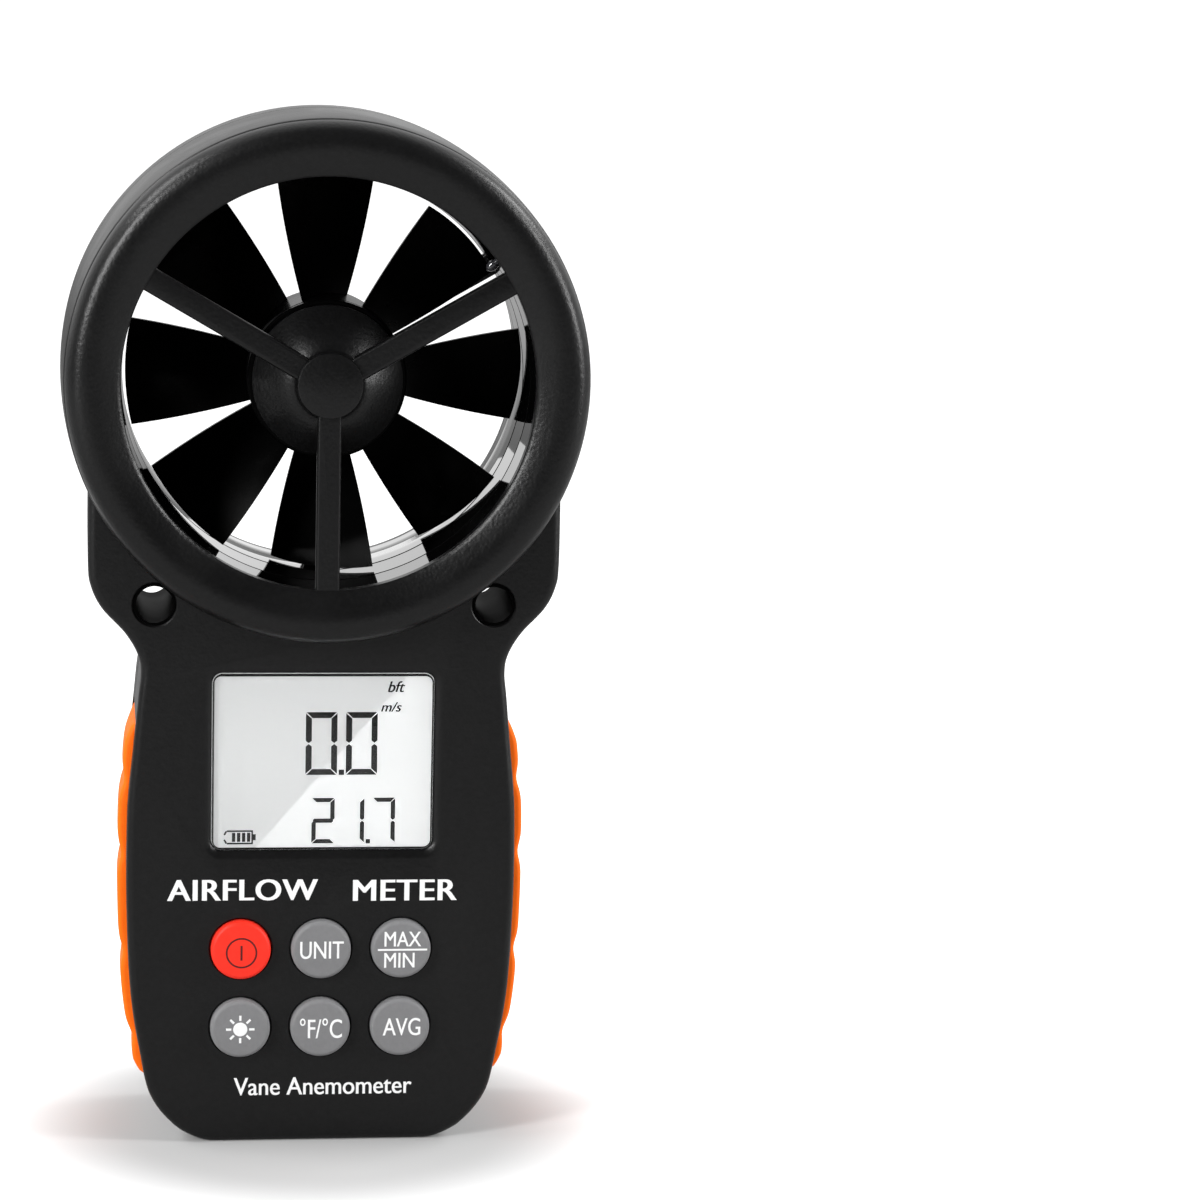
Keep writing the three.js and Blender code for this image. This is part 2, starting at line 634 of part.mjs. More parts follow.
add('front_guard', guard(), 'case');
add('rear_guard', guard().mirror([0, 1, 0]), 'case');
add('duct_front', cut(ductSleeve(-15.2, SPLIT_Y - HALF_GAP), probeRod(PROBE_RADIUS + GAP, 9, 34)), 'duct');
add('duct_rear', ductSleeve(SPLIT_Y + HALF_GAP, 15.2), 'duct');
add('front_bearing', bearing(-1), 'brass');
add('rear_bearing', bearing(1), 'brass');
add('impeller', impeller(), 'rotor');
add('rotor_magnet', rotorMagnet(), 'steel');
add('rotor_shaft', rotorShaft(), 'steel');
add('speed_sensor', speedSensor(), 'board');
add('thermistor', thermistor(), 'steel');

const windowShape = roundedRectangle(SCREEN_HALF_WIDTH, SCREEN_BOTTOM, SCREEN_TOP, SCREEN_CORNER);
add('screen_window', slab(windowShape, WINDOW_FRONT, WINDOW_BACK), 'window');
add('lcd_panel', slab(panelShape(0, PANEL_CORNER), -9.3, -7.6), 'lcd');
add('backlight', slab(panelShape(0, PANEL_CORNER), -7.3, -6.2), 'white');
add('lcd_bracket', lcdBracket(), 'rubber');
add('main_board', mainBoard(), 'board');
add('keypad_mat', keypadMat(), 'rubber');

const KEY_NAMES = ['power_key', 'unit_key', 'max_min_key', 'light_key', 'scale_key', 'average_key'];
keySites.forEach(([x, z], i) => add(KEY_NAMES[i], key(x, z), i === 0 ? 'powerKey' : 'key'));

add('battery', battery(), 'battery');
add('battery_snap', batterySnap(), 'rubber');
add('battery_pad', batteryPad(), 'rubber');
add('tripod_insert', tripodInsert(), 'brass');

const SCREW_NAMES = ['screw_upper_left', 'screw_upper_right', 'screw_lower_left', 'screw_lower_right'];
SCREW_SITES.forEach(([x, z], i) => add(SCREW_NAMES[i], screw(x, z), 'steel'));

export default meter;
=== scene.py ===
"""The looks of a handheld vane anemometer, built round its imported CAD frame.

Shapes are worked in millimetres and scaled to metres as each piece is finished.
"""

import json
import logging
import math
from dataclasses import dataclass
from enum import Enum
from typing import Iterable, Optional, Sequence

import bmesh
import bpy
from mathutils import Matrix, Vector

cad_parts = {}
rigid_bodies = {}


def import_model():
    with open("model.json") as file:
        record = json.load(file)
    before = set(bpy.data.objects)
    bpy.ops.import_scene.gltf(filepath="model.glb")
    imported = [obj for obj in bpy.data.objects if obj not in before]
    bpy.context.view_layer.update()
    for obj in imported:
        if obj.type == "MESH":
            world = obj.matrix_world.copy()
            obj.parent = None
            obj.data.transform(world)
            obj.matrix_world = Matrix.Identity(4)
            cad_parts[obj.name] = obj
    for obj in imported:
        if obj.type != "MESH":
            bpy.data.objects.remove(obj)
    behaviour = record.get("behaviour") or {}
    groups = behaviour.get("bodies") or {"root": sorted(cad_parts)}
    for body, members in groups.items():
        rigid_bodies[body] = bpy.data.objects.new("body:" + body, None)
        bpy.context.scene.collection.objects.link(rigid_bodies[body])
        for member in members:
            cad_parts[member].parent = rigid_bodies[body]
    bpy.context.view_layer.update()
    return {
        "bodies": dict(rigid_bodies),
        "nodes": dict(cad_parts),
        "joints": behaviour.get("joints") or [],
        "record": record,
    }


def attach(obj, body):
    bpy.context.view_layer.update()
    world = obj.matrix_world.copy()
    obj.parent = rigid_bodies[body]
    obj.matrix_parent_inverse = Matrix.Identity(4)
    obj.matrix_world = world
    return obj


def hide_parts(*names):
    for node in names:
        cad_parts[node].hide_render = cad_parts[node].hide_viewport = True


MM = 0.001
CLEARANCE = 0.3
MERGE = 1e-4
SMOOTH_BELOW = 32.0
NOWHERE = (0.0, 0.0, 0.0)
Point = tuple[float, float]
Point3 = tuple[float, float, float]
Colour = tuple[float, float, float]
log = logging.getLogger("anemometer")


# ---- Outline -------------------------------------------------------------------------------------
@dataclass(frozen=True)
class CaseOutline:
    """The front-view outline of the case, from its flat base to the shoulders beside the ring."""

    side: tuple[Point, ...] = (
        (15.0, 0.0), (18.2, 0.2), (21.6, 1.7), (23.9, 3.7), (25.6, 5.8), (26.8, 8.0), (27.5, 10.4),
        (28.1, 13.6), (29.4, 21.1), (30.1, 28.6), (30.5, 40.0), (30.5, 49.0), (30.3, 55.6), (29.5, 64.0),
        (28.8, 71.6), (28.4, 75.6), (28.9, 78.6), (30.9, 82.0), (34.4, 85.8), (36.1, 89.2), (36.6, 93.0),
        (36.6, 104.6),
    )

    def right_side(self, per_span: int = 6) -> list[Point]:
        """Runs a Catmull-Rom curve through the side's points.

        Args:
            per_span: Steps between two neighbouring points.

        Returns:
            Points (x, z) from the base upwards.
        """
        last = len(self.side) - 1
        curve = []
        for i in range(last):
            before, start = Vector(self.side[max(i - 1, 0)]), Vector(self.side[i])
            end, after = Vector(self.side[i + 1]), Vector(self.side[min(i + 2, last)])
            for step in range(per_span):
                t = step / per_span
                leave, arrive = (end - before) / 2, (after - start) / 2
                point = (
                    start + leave * t + (3 * (end - start) - 2 * leave - arrive) * t**2
                    + (2 * (start - end) + leave + arrive) * t**3
                )
                curve.append((point.x, point.y))
        curve.append(self.side[-1])
        return curve

    def half_width(self, z: float) -> float:
        """The half width of the case at one height.

        Args:
            z: Height above the base.

        Returns:
            The distance from the middle plane to the side.
        """
        curve = self.right_side()
        for (x0, z0), (x1, z1) in zip(curve, curve[1:]):
            if z <= z1:
                return x0 + (x1 - x0) * max(0.0, z - z0) / (z1 - z0)
        return curve[-1][0]

    def closed(self) -> list[Point]:
        """The whole outline, right side up and left side down."""
        right = self.right_side()
        return right + [(-x, z) for x, z in reversed(right)]

    def hollow(self, wall: float, handle_wall: float) -> list[Point]:
        """The outline of the space inside the case.

        Args:
            wall: Wall thickness at the shoulders.
            handle_wall: Wall thickness in the handle, where the grips sit in their recesses.

        Returns:
            A closed list of points.
        """
        right = []
        for i in range(50):
            z = wall + 1 + 2 * i
            blend = min(1.0, max(0.0, (z - 67.6) / 10))
            inset = handle_wall + (wall - handle_wall) * blend
            right.append((self.half_width(z) - inset, z))
        return right + [(-x, z) for x, z in reversed(right)]


# ---- Shaping -------------------------------------------------------------------------------------
class Cut(Enum):
    """How one workpiece acts on another."""

    AWAY = "DIFFERENCE"
    JOIN = "UNION"
    SHARED = "INTERSECT"


class Workpiece:
    """A solid being shaped in millimetres."""

    def __init__(self) -> None:
        """Starts with nothing."""
        self.bm = bmesh.new()

    @classmethod
    def turned(cls, profile: Sequence[Point], x: float, z: float, steps: int = 96) -> "Workpiece":
        """Spins a profile of (radius, y) points about an axis along Y.

        Args:
            profile: The points; the profile closes on itself unless both ends are on the axis.
            x: The axis's place across the case.
            z: The axis's height.
            steps: Facets in the full turn.

        Returns:
            The turned solid.
        """
        piece = cls()
        rim = [piece.bm.verts.new((radius, y, 0)) for radius, y in profile]
        pairs = list(zip(rim, rim[1:]))
        if profile[0][0] > 0 or profile[-1][0] > 0:
            pairs.append((rim[-1], rim[0]))
        edges = [piece.bm.edges.new(pair) for pair in pairs]
        bmesh.ops.spin(
            piece.bm, geom=rim + edges, cent=(0, 0, 0), axis=(0, 1, 0), dvec=(0, 0, 0),
            angle=math.tau, steps=steps, use_merge=True, use_duplicate=False,
        )
        bmesh.ops.remove_doubles(piece.bm, verts=piece.bm.verts[:], dist=MERGE)
        bmesh.ops.dissolve_degenerate(piece.bm, edges=piece.bm.edges[:], dist=1e-5)
        piece.face_outwards()
        return piece.move((x, 0, z))

    @classmethod
    def plate(cls, outline: Sequence[Point], front: float, back: float) -> "Workpiece":
        """Extrudes a front-view outline from one depth to another.

        Args:
            outline: Points (x, z) round the shape.
            front: The front face's Y.
            back: The back face's Y.

        Returns:
            The extruded solid.
        """
        piece = cls()
        face = piece.bm.faces.new([piece.bm.verts.new((x, front, z)) for x, z in outline])
        grown = bmesh.ops.extrude_face_region(piece.bm, geom=[face])["geom"]
        moved = [item for item in grown if isinstance(item, bmesh.types.BMVert)]
        bmesh.ops.translate(piece.bm, verts=moved, vec=(0, back - front, 0))
        piece.face_outwards()
        return piece

    @classmethod
    def block(cls, low: Sequence[float], high: Sequence[float], edge: float = 0.0) -> "Workpiece":
        """A box between two corners, with its edges rounded.

        Args:
            low: The lowest corner.
            high: The highest corner.
            edge: Radius of the rounded edges, or 0 to leave them.

        Returns:
            The box.
        """
        piece = cls()
        bmesh.ops.create_cube(piece.bm, size=1.0)
        size = Vector(high) - Vector(low)
        bmesh.ops.scale(piece.bm, vec=size, verts=piece.bm.verts[:])
        piece.move((Vector(low) + Vector(high)) / 2)
        if edge:
            piece.round_edges(piece.bm.edges[:], edge, 3)
        return piece

    @classmethod
    def lofted(cls, layers: Sequence[tuple[Sequence[Point], float]]) -> "Workpiece":
        """Joins a stack of front-view outlines that have the same number of points.

        Args:
            layers: Each outline with its depth.

        Returns:
            The closed solid.
        """
        piece = cls()
        rings = []
        for outline, y in layers:
            ring = [piece.bm.verts.new((x, y, z)) for x, z in outline]
            rings.append([piece.bm.edges.new((a, b)) for a, b in zip(ring, ring[1:] + ring[:1])])
        for lower, upper in zip(rings, rings[1:]):
            bmesh.ops.bridge_loops(piece.bm, edges=lower + upper)
        for ring in (rings[0], rings[-1]):
            bmesh.ops.contextual_create(piece.bm, geom=ring)
        return piece.face_outwards()

    def move(self, offset: Sequence[float]) -> "Workpiece":
        """Shifts everything.

        Args:
            offset: The shift in millimetres.

        Returns:
            This workpiece.
        """
        bmesh.ops.translate(self.bm, verts=self.bm.verts[:], vec=Vector(offset))
        return self

    def turn(self, degrees: float, axis: str, centre: Sequence[float]) -> "Workpiece":
        """Turns everything about an axis through a point.

        Args:
            degrees: The angle, right-handed.
            axis: X, Y or Z.
            centre: A point on the axis.

        Returns:
            This workpiece.
        """
        bmesh.ops.rotate(
            self.bm, cent=Vector(centre), matrix=Matrix.Rotation(math.radians(degrees), 3, axis),
            verts=self.bm.verts[:],
        )
        return self

    def mirrored(self, x: float = 1, y: float = 1) -> "Workpiece":
        """Flips everything across the middle planes.

        Args:
            x: -1 to flip left and right.
            y: -1 to flip front and back.

        Returns:
            This workpiece.
        """
        bmesh.ops.scale(self.bm, vec=(x, y, 1), verts=self.bm.verts[:])
        return self.face_outwards()

    def face_outwards(self) -> "Workpiece":
        """Points every face outwards."""
        bmesh.ops.recalc_face_normals(self.bm, faces=self.bm.faces[:])
        return self

    def round_edges(self, edges: Iterable[bmesh.types.BMEdge], radius: float,
                    segments: int = 4) -> "Workpiece":
        """Rounds the given edges.

        Args:
            edges: The edges to round.
            radius: How far the rounding reaches on each side.
            segments: Facets across the rounding.

        Returns:
            This workpiece.
        """
        bmesh.ops.bevel(
            self.bm, geom=list(edges), offset=radius, offset_type="OFFSET", affect="EDGES",
            segments=segments, profile=0.5, material=-1, clamp_overlap=True,
        )
        return self

    def rim(self, y: float) -> list[bmesh.types.BMEdge]:
        """The edges that lie in one depth.

        Args:
            y: The depth.

        Returns:
            The edges with both ends there.
        """
        return [e for e in self.bm.edges if all(abs(v.co.y - y) < 1e-4 for v in e.verts)]

    def add(self, *others: "Workpiece") -> "Workpiece":
        """Takes the others in as they are, without cutting.

        Args:
            others: Workpieces that don't touch this one.

        Returns:
            This workpiece.
        """
        for other in others:
            mesh = other.mesh("carried")
            self.bm.from_mesh(mesh)
            bpy.data.meshes.remove(mesh)
        return self

    def mesh(self, name: str) -> bpy.types.Mesh:
        """Writes the workpiece to a new mesh, still in millimetres."""
        mesh = bpy.data.meshes.new(name)
        self.bm.to_mesh(mesh)
        return mesh

    def combine(self, tool: "Workpiece", how: Cut) -> "Workpiece":
        """Joins with, cuts by or keeps what is shared with another workpiece.

        Args:
            tool: The other workpiece.
            how: Which of the three.

        Returns:
            This workpiece.
        """
        base = bpy.data.objects.new("base", self.mesh("base"))
        other = bpy.data.objects.new("tool", tool.mesh("tool"))
        for item in (base, other):
            bpy.context.scene.collection.objects.link(item)
        modifier = base.modifiers.new("combine", "BOOLEAN")
        modifier.operation = how.value
        modifier.solver = "MANIFOLD"
        modifier.object = other
        graph = bpy.context.evaluated_depsgraph_get()
        result = bpy.data.meshes.new_from_object(base.evaluated_get(graph))
        self.bm.clear()
        self.bm.from_mesh(result)
        bpy.data.meshes.remove(result)
        for item in (base, other):
            mesh = item.data
            bpy.data.objects.remove(item)
            bpy.data.meshes.remove(mesh)
        return self

    def cut(self, *tools: "Workpiece") -> "Workpiece":
        """Cuts each tool away in turn."""
        for tool in tools:
            self.combine(tool, Cut.AWAY)
        return self

    def join(self, *tools: "Workpiece") -> "Workpiece":
        """Joins each tool on in turn."""
        for tool in tools:
            self.combine(tool, Cut.JOIN)
        return self


def rounded_rectangle(x0: float, x1: float, z0: float, z1: float, corner: float,
                      steps: int = 8) -> list[Point]:
    """The points of a rectangle with round corners.

    Args:
        x0: Left side.
        x1: Right side.
        z0: Bottom.
        z1: Top.
        corner: Corner radius.
        steps: Facets in each corner.

    Returns:
        The points, anticlockwise from the lower right corner.
    """
    centres = ((x1 - corner, z0 + corner), (x1 - corner, z1 - corner), (x0 + corner, z1 - corner),
               (x0 + corner, z0 + corner))
    points = []
    for quarter, (x, z) in enumerate(centres):
        for i in range(steps + 1):
            angle = math.pi / 2 * (quarter - 1 + i / steps)
            points.append((x + corner * math.cos(angle), z + corner * math.sin(angle)))
    return points


def hole(x: float, z: float, radius: float, front: float, back: float, flare: float = 0.0,
         steps: int = 48) -> Workpiece:
    """A round cutter along Y whose front mouth may flare.

    Args:
        x: Place across the case.
        z: Height.
        radius: Radius of the bore.
        front: Where the mouth is.
        back: Where the bore ends.
        flare: Size of the chamfer at the mouth.
        steps: Facets round the bore.

    Returns:
        The cutter, which starts 1 mm in front of the mouth.
    """
    profile = [(0, front - 1), (radius + flare, front - 1), (radius + flare, front)]
    if flare:
        profile.append((radius, front + flare))
    profile += [(radius, back), (0, back)]
    return Workpiece.turned(profile, x, z, steps)


def pillar(x: float, z: float, radius: float, front: float, back: float, steps: int) -> Workpiece:
    """A plain round post along Y, between two depths."""
    return Workpiece.turned([(0, front), (radius, front), (radius, back), (0, back)], x, z, steps)


# ---- Finishes ------------------------------------------------------------------------------------
class Wiring:
    """Places nodes in one tree and joins them."""

    def __init__(self, tree: bpy.types.NodeTree) -> None:
        """Holds the tree.

        Args:
            tree: A material's or group's node tree.
        """
        self.tree = tree

    def node(self, kind: str, settings: Optional[dict] = None, **inputs: object) -> bpy.types.Node:
        """Adds a node.

        Args:
            kind: The node's type, without the ShaderNode prefix.
            settings: Attributes of the node.
            inputs: Values or sockets for its inputs, with _ for each space in a name.

        Returns:
            The node.
        """
        made = self.tree.nodes.new("ShaderNode" + kind)
        for name, value in (settings or {}).items():
            setattr(made, name, value)
        for name, value in inputs.items():
            self.feed(made.inputs[name.replace("_", " ")], value)
        return made

    def feed(self, socket: bpy.types.NodeSocket, value: object) -> None:
        """Sets a socket's value, or joins another socket to it."""
        if isinstance(value, bpy.types.NodeSocket):
            self.tree.links.new(value, socket)
        else:
            socket.default_value = value

    def place(self) -> bpy.types.NodeSocket:
        """The place on the piece, in its own coordinates."""
        return self.node("TexCoord").outputs["Object"]

    def ranged(self, value: object, source: Point, result: Point = (0.0, 1.0),
               smooth: bool = True) -> bpy.types.NodeSocket:
        """Maps one range of values on another.

        Args:
            value: The value or socket to map.
            source: The range that it comes in.
            result: The range that it goes out in.
            smooth: Whether it eases in and out.

        Returns:
            The result's socket.
        """
        easing = {"interpolation_type": "SMOOTHSTEP" if smooth else "LINEAR"}
        made = self.node("MapRange", easing, Value=value)
        for name, limit in zip(("From Min", "From Max", "To Min", "To Max"), (*source, *result)):
            made.inputs[name].default_value = limit
        return made.outputs["Result"]

    def sum(self, how: str, first: object, second: object = 0.0, third: object = 0.0) -> bpy.types.NodeSocket:
        """Does arithmetic on values.

        Args:
            how: The Math node's operation.
            first: Value or socket.
            second: Value or socket.
            third: Value or socket.

        Returns:
            The result's socket.
        """
        made = self.tree.nodes.new("ShaderNodeMath")
        made.operation = how
        for socket, value in zip(made.inputs, (first, second, third)):
            self.feed(socket, value)
        return made.outputs[0]

    def blend(self, amount: object, first: object, second: object) -> bpy.types.NodeSocket:
        """Mixes two colours.

        Args:
            amount: Share of the second colour.
            first: Colour or socket.
            second: Colour or socket.

        Returns:
            The mixed colour's socket.
        """
        made = self.tree.nodes.new("ShaderNodeMix")
        made.data_type = "RGBA"
        self.feed(made.inputs["Factor"], amount)
        self.feed(made.inputs["A"], first)
        self.feed(made.inputs["B"], second)
        return made.outputs["Result"]


def new_material(name: str) -> tuple[bpy.types.Material, Wiring, bpy.types.Node]:
    """Starts a material.

    Args:
        name: The material's name.

    Returns:
        The material, its wiring and its shader.
    """
    made = bpy.data.materials.new(name)
    made.use_nodes = True
    return made, Wiring(made.node_tree), made.node_tree.nodes["Principled BSDF"]


def new_group(name: str, inputs: Sequence[str], outputs: Sequence[str]) -> tuple[bpy.types.NodeTree, Wiring]:
    """Starts a shader node group.

    Args:
        name: The group's name.
        inputs: Names of its number inputs.
        outputs: Names of its number outputs.

    Returns:
        The group and its wiring.
    """
    tree = bpy.data.node_groups.new(name, "ShaderNodeTree")
    for label in inputs:
        tree.interface.new_socket(name=label, in_out="INPUT", socket_type="NodeSocketFloat")
    for label in outputs:
        tree.interface.new_socket(name=label, in_out="OUTPUT", socket_type="NodeSocketFloat")
    tree.nodes.new("NodeGroupInput").name = "In"
    tree.nodes.new("NodeGroupOutput").name = "Out"
    return tree, Wiring(tree)


class Effects:
    """The shader node groups that several finishes share."""

    def __init__(self) -> None:
        """Builds each group once."""
        self.grain = self.moulded_grain()
        self.touch = self.handling()
        self.edge = self.edge_wear()
        self.machining = self.machined()

    @staticmethod
    def moulded_grain() -> bpy.types.NodeTree:
        """Fine spark-eroded grain: a height and a speckle, both from 0 to 1.

        Returns:
            The group.
        """
        tree, wire = new_group("moulded grain", ("Scale",), ("Height", "Speckle"))
        given, out = tree.nodes["In"], tree.nodes["Out"]
        place = wire.place()
        pebble = wire.node("TexVoronoi", {"feature": "SMOOTH_F1"}, Vector=place, Scale=given.outputs["Scale"])
        fine = wire.node("TexNoise", Vector=place, Scale=wire.sum("MULTIPLY", given.outputs["Scale"], 1.7),
                         Detail=3.0, Roughness=0.6)
        speck = wire.node("TexNoise", Vector=place, Scale=wire.sum("MULTIPLY", given.outputs["Scale"], 0.8),
                          Detail=2.0)
        height = wire.sum("MULTIPLY_ADD", fine.outputs["Fac"], 0.6, pebble.outputs["Distance"])
        wire.feed(out.inputs["Height"], height)
        wire.feed(out.inputs["Speckle"], speck.outputs["Fac"])
        return tree

    @staticmethod
    def handling() -> bpy.types.NodeTree:
        """Broad soft patches where hands have rubbed, from 0 to 1.

        Returns:
            The group.
        """
        tree, wire = new_group("handling", ("Scale",), ("Patch",))
        given, out = tree.nodes["In"], tree.nodes["Out"]
        place = wire.place()
        broad = wire.node("TexNoise", Vector=place, Scale=given.outputs["Scale"], Detail=4.0, Distortion=0.6)
        wire.feed(out.inputs["Patch"], wire.ranged(broad.outputs["Fac"], (0.35, 0.7)))
        return tree

    @staticmethod
    def edge_wear() -> bpy.types.NodeTree:
        """A mask of the outward edges, broken up by noise.

        Returns:
            The group.
        """
        tree, wire = new_group("edge wear", ("Amount",), ("Mask",))
        given, out = tree.nodes["In"], tree.nodes["Out"]
        place = wire.place()
        broken = wire.node("TexNoise", Vector=place, Scale=420.0, Detail=3.0)
        bend = wire.node("NewGeometry").outputs["Pointiness"]
        sharp = wire.ranged(bend, (0.53, 0.62), smooth=False)
        mask = wire.sum("MULTIPLY", sharp, broken.outputs["Fac"])
        wire.feed(out.inputs["Mask"], wire.sum("MULTIPLY", mask, given.outputs["Amount"]))
        return tree

    @staticmethod
    def machined() -> bpy.types.NodeTree:
        """Fine lines left by a lathe or a brush, running round Y.

        Returns:
            The group.
        """
        tree, wire = new_group("machined lines", ("Scale",), ("Line",))
        given, out = tree.nodes["In"], tree.nodes["Out"]
        place = wire.place()
        wave = wire.node("TexWave", {"wave_type": "BANDS", "bands_direction": "Y"}, Vector=place,
                         Scale=given.outputs["Scale"], Distortion=1.5, Detail=2.0)
        wire.feed(out.inputs["Line"], wave.outputs["Fac"])
        return tree


@dataclass(frozen=True)
class Finish:
    """One opaque finish: two colours that the grain drifts between, its gloss and its texture."""

    name: str
    base: Colour
    drift: Colour
    roughness: float
    roughness_drift: float = 0.08
    metallic: float = 0.0
    specular: float = 0.5
    coat: float = 0.0
    grain_scale: float = 1800.0
    grain_depth: float = 0.03
    patch_scale: float = 55.0
    wear: float = 0.0
    worn: Colour = (0.12, 0.12, 0.12)
    line_scale: float = 0.0

    def material(self, effects: Effects) -> bpy.types.Material:
        """Builds the material.

        Args:
            effects: The shared node groups.

        Returns:
            The material.
        """
        made, wire, shader = new_material(self.name)
        grain = self.placed(wire, effects.grain, Scale=self.grain_scale)
        touch = self.placed(wire, effects.touch, Scale=self.patch_scale)
        colour = wire.blend(grain.outputs["Speckle"], (*self.base, 1), (*self.drift, 1))
        if self.wear:
            edge = self.placed(wire, effects.edge, Amount=self.wear)
            colour = wire.blend(edge.outputs["Mask"], colour, (*self.worn, 1))
        rough = wire.sum("MULTIPLY_ADD", touch.outputs["Patch"], -self.roughness_drift, self.roughness)
        height = grain.outputs["Height"]
        if self.line_scale:
            lines = self.placed(wire, effects.machining, Scale=self.line_scale)
            height = wire.sum("MULTIPLY_ADD", lines.outputs["Line"], 2.0, height)
        bump = wire.node("Bump", Height=height, Distance=self.grain_depth * MM, Strength=0.6)
        wire.feed(shader.inputs["Base Color"], colour)
        wire.feed(shader.inputs["Roughness"], rough)
        wire.feed(shader.inputs["Normal"], bump.outputs["Normal"])
        shader.inputs["Metallic"].default_value = self.metallic
        shader.inputs["Specular IOR Level"].default_value = self.specular
        shader.inputs["Coat Weight"].default_value = self.coat
        made.diffuse_color = (*self.base, 1)
        return made

    @staticmethod
    def placed(wire: Wiring, group: bpy.types.NodeTree, **inputs: float) -> bpy.types.Node:
        """Places a shared group with its values."""
        made = wire.tree.nodes.new("ShaderNodeGroup")
        made.node_tree = group
        for name, value in inputs.items():
            made.inputs[name].default_value = value
        return made


@dataclass(frozen=True)
class DisplayFinish:
    """The display's face: a pale polariser, darker above a slanting edge of painted glare, with a painted
    glow.
    """

    name: str = "display_face"
    # dim is the face's tone outside the painted glare, bright its tone inside the painted glare.
    dim: Colour = (0.74, 0.74, 0.74)
    bright: Colour = (0.96, 0.96, 0.96)
    glare_foot: Point = (-10.05, 48.0)
    glare_head: Point = (12.87, 74.55)
    painted_glow: float = 0.46

    def material(self) -> bpy.types.Material:
        """Builds the material.

        Returns:
            The material.
        """
        made, wire, shader = new_material(self.name)
        place = wire.place()
        foot, head = Vector(self.glare_foot) * MM, Vector(self.glare_head) * MM
        across = Vector((head.y - foot.y, foot.x - head.x)).normalized()
        parts = wire.node("SeparateXYZ", Vector=place)
        side = wire.sum("MULTIPLY_ADD", parts.outputs["Z"], across.y, -across.dot(foot))
        side = wire.sum("MULTIPLY_ADD", parts.outputs["X"], across.x, side)
        # Painted glare: the face is lighter on the lower right of a fixed slanting line, a reflection painted
        # into its colour.
        lit = wire.sum("GREATER_THAN", side, 0.0)
        haze = wire.node("TexNoise", Vector=place, Scale=160.0, Detail=3.0)
        colour = wire.blend(lit, (*self.dim, 1), (*self.bright, 1))
        colour = wire.blend(wire.sum("MULTIPLY", haze.outputs["Fac"], 0.03), colour, (0.9, 0.84, 0.8, 1))
        wire.feed(shader.inputs["Base Color"], colour)
        # Painted glow: the face gives off light in its own colour, so it looks lit though it is no lamp.
        wire.feed(shader.inputs["Emission Color"], colour)
        shader.inputs["Emission Strength"].default_value = self.painted_glow
        rough = wire.sum("MULTIPLY_ADD", haze.outputs["Fac"], 0.08, 0.3)
        wire.feed(shader.inputs["Roughness"], rough)
        shader.inputs["Specular IOR Level"].default_value = 0.1
        return made


@dataclass(frozen=True)
class PaneFinish:
    """Clear moulded plastic with the faintest unevenness."""

    name: str = "window_pane"
    index: float = 1.45

    def material(self) -> bpy.types.Material:
        """Builds the material.

        Returns:
            The material.
        """
        made, wire, shader = new_material(self.name)
        place = wire.place()
        haze = wire.node("TexNoise", Vector=place, Scale=90.0, Detail=2.0)
        wire.feed(shader.inputs["Roughness"], wire.sum("MULTIPLY", haze.outputs["Fac"], 0.03))
        bump = wire.node("Bump", Height=haze.outputs["Fac"], Distance=0.004 * MM, Strength=0.3)
        wire.feed(shader.inputs["Normal"], bump.outputs["Normal"])
        shader.inputs["Base Color"].default_value = (0.97, 0.98, 0.98, 1)
        shader.inputs["Transmission Weight"].default_value = 1.0
        shader.inputs["IOR"].default_value = self.index
        return made


@dataclass(frozen=True)
class BoardFinish:
    """Solder mask over copper tracks."""

    name: str
    mask: Colour = (0.01, 0.09, 0.03)
    track: Colour = (0.03, 0.22, 0.08)
    pitch: float = 420.0

    def material(self) -> bpy.types.Material:
        """Builds the material.

        Returns:
            The material.
        """
        made, wire, shader = new_material(self.name)
        place = wire.place()
        cells = wire.node("TexVoronoi", {"feature": "F1", "distance": "CHEBYCHEV"}, Vector=place,
                          Scale=self.pitch)
        lines = wire.node("TexBrick", Vector=place, Scale=self.pitch / 2, Mortar_Size=0.03)
        tracks = wire.sum("GREATER_THAN", cells.outputs["Distance"], 0.55)
        amount = wire.sum("MAXIMUM", tracks, lines.outputs["Fac"])
        wire.feed(shader.inputs["Base Color"], wire.blend(amount, (*self.mask, 1), (*self.track, 1)))
        wire.feed(shader.inputs["Roughness"], wire.sum("MULTIPLY_ADD", amount, 0.15, 0.25))
        bump = wire.node("Bump", Height=amount, Distance=0.03 * MM, Strength=0.5)
        wire.feed(shader.inputs["Normal"], bump.outputs["Normal"])
        return made


@dataclass(frozen=True)
class CellFinish:
    """A battery's printed jacket: dark, with a coloured band near its top."""

    name: str = "battery_jacket"
    jacket: Colour = (0.015, 0.017, 0.022)
    band: Colour = (0.55, 0.28, 0.06)
    band_height: float = 36.0

    def material(self) -> bpy.types.Material:
        """Builds the material.

        Returns:
            The material.
        """
        made, wire, shader = new_material(self.name)
        place = wire.place()
        height = wire.node("SeparateXYZ", Vector=place).outputs["Z"]
        above = wire.sum("GREATER_THAN", height, self.band_height * MM)
        scuff = wire.node("TexNoise", Vector=place, Scale=260.0, Detail=4.0)
        colour = wire.blend(above, (*self.jacket, 1), (*self.band, 1))
        colour = wire.blend(wire.sum("MULTIPLY", scuff.outputs["Fac"], 0.12), colour, (0.3, 0.3, 0.3, 1))
        wire.feed(shader.inputs["Base Color"], colour)
        wire.feed(shader.inputs["Roughness"], wire.sum("MULTIPLY_ADD", scuff.outputs["Fac"], 0.2, 0.22))
        bump = wire.node("Bump", Height=scuff.outputs["Fac"], Distance=0.02 * MM, Strength=0.4)
        wire.feed(shader.inputs["Normal"], bump.outputs["Normal"])
        return made


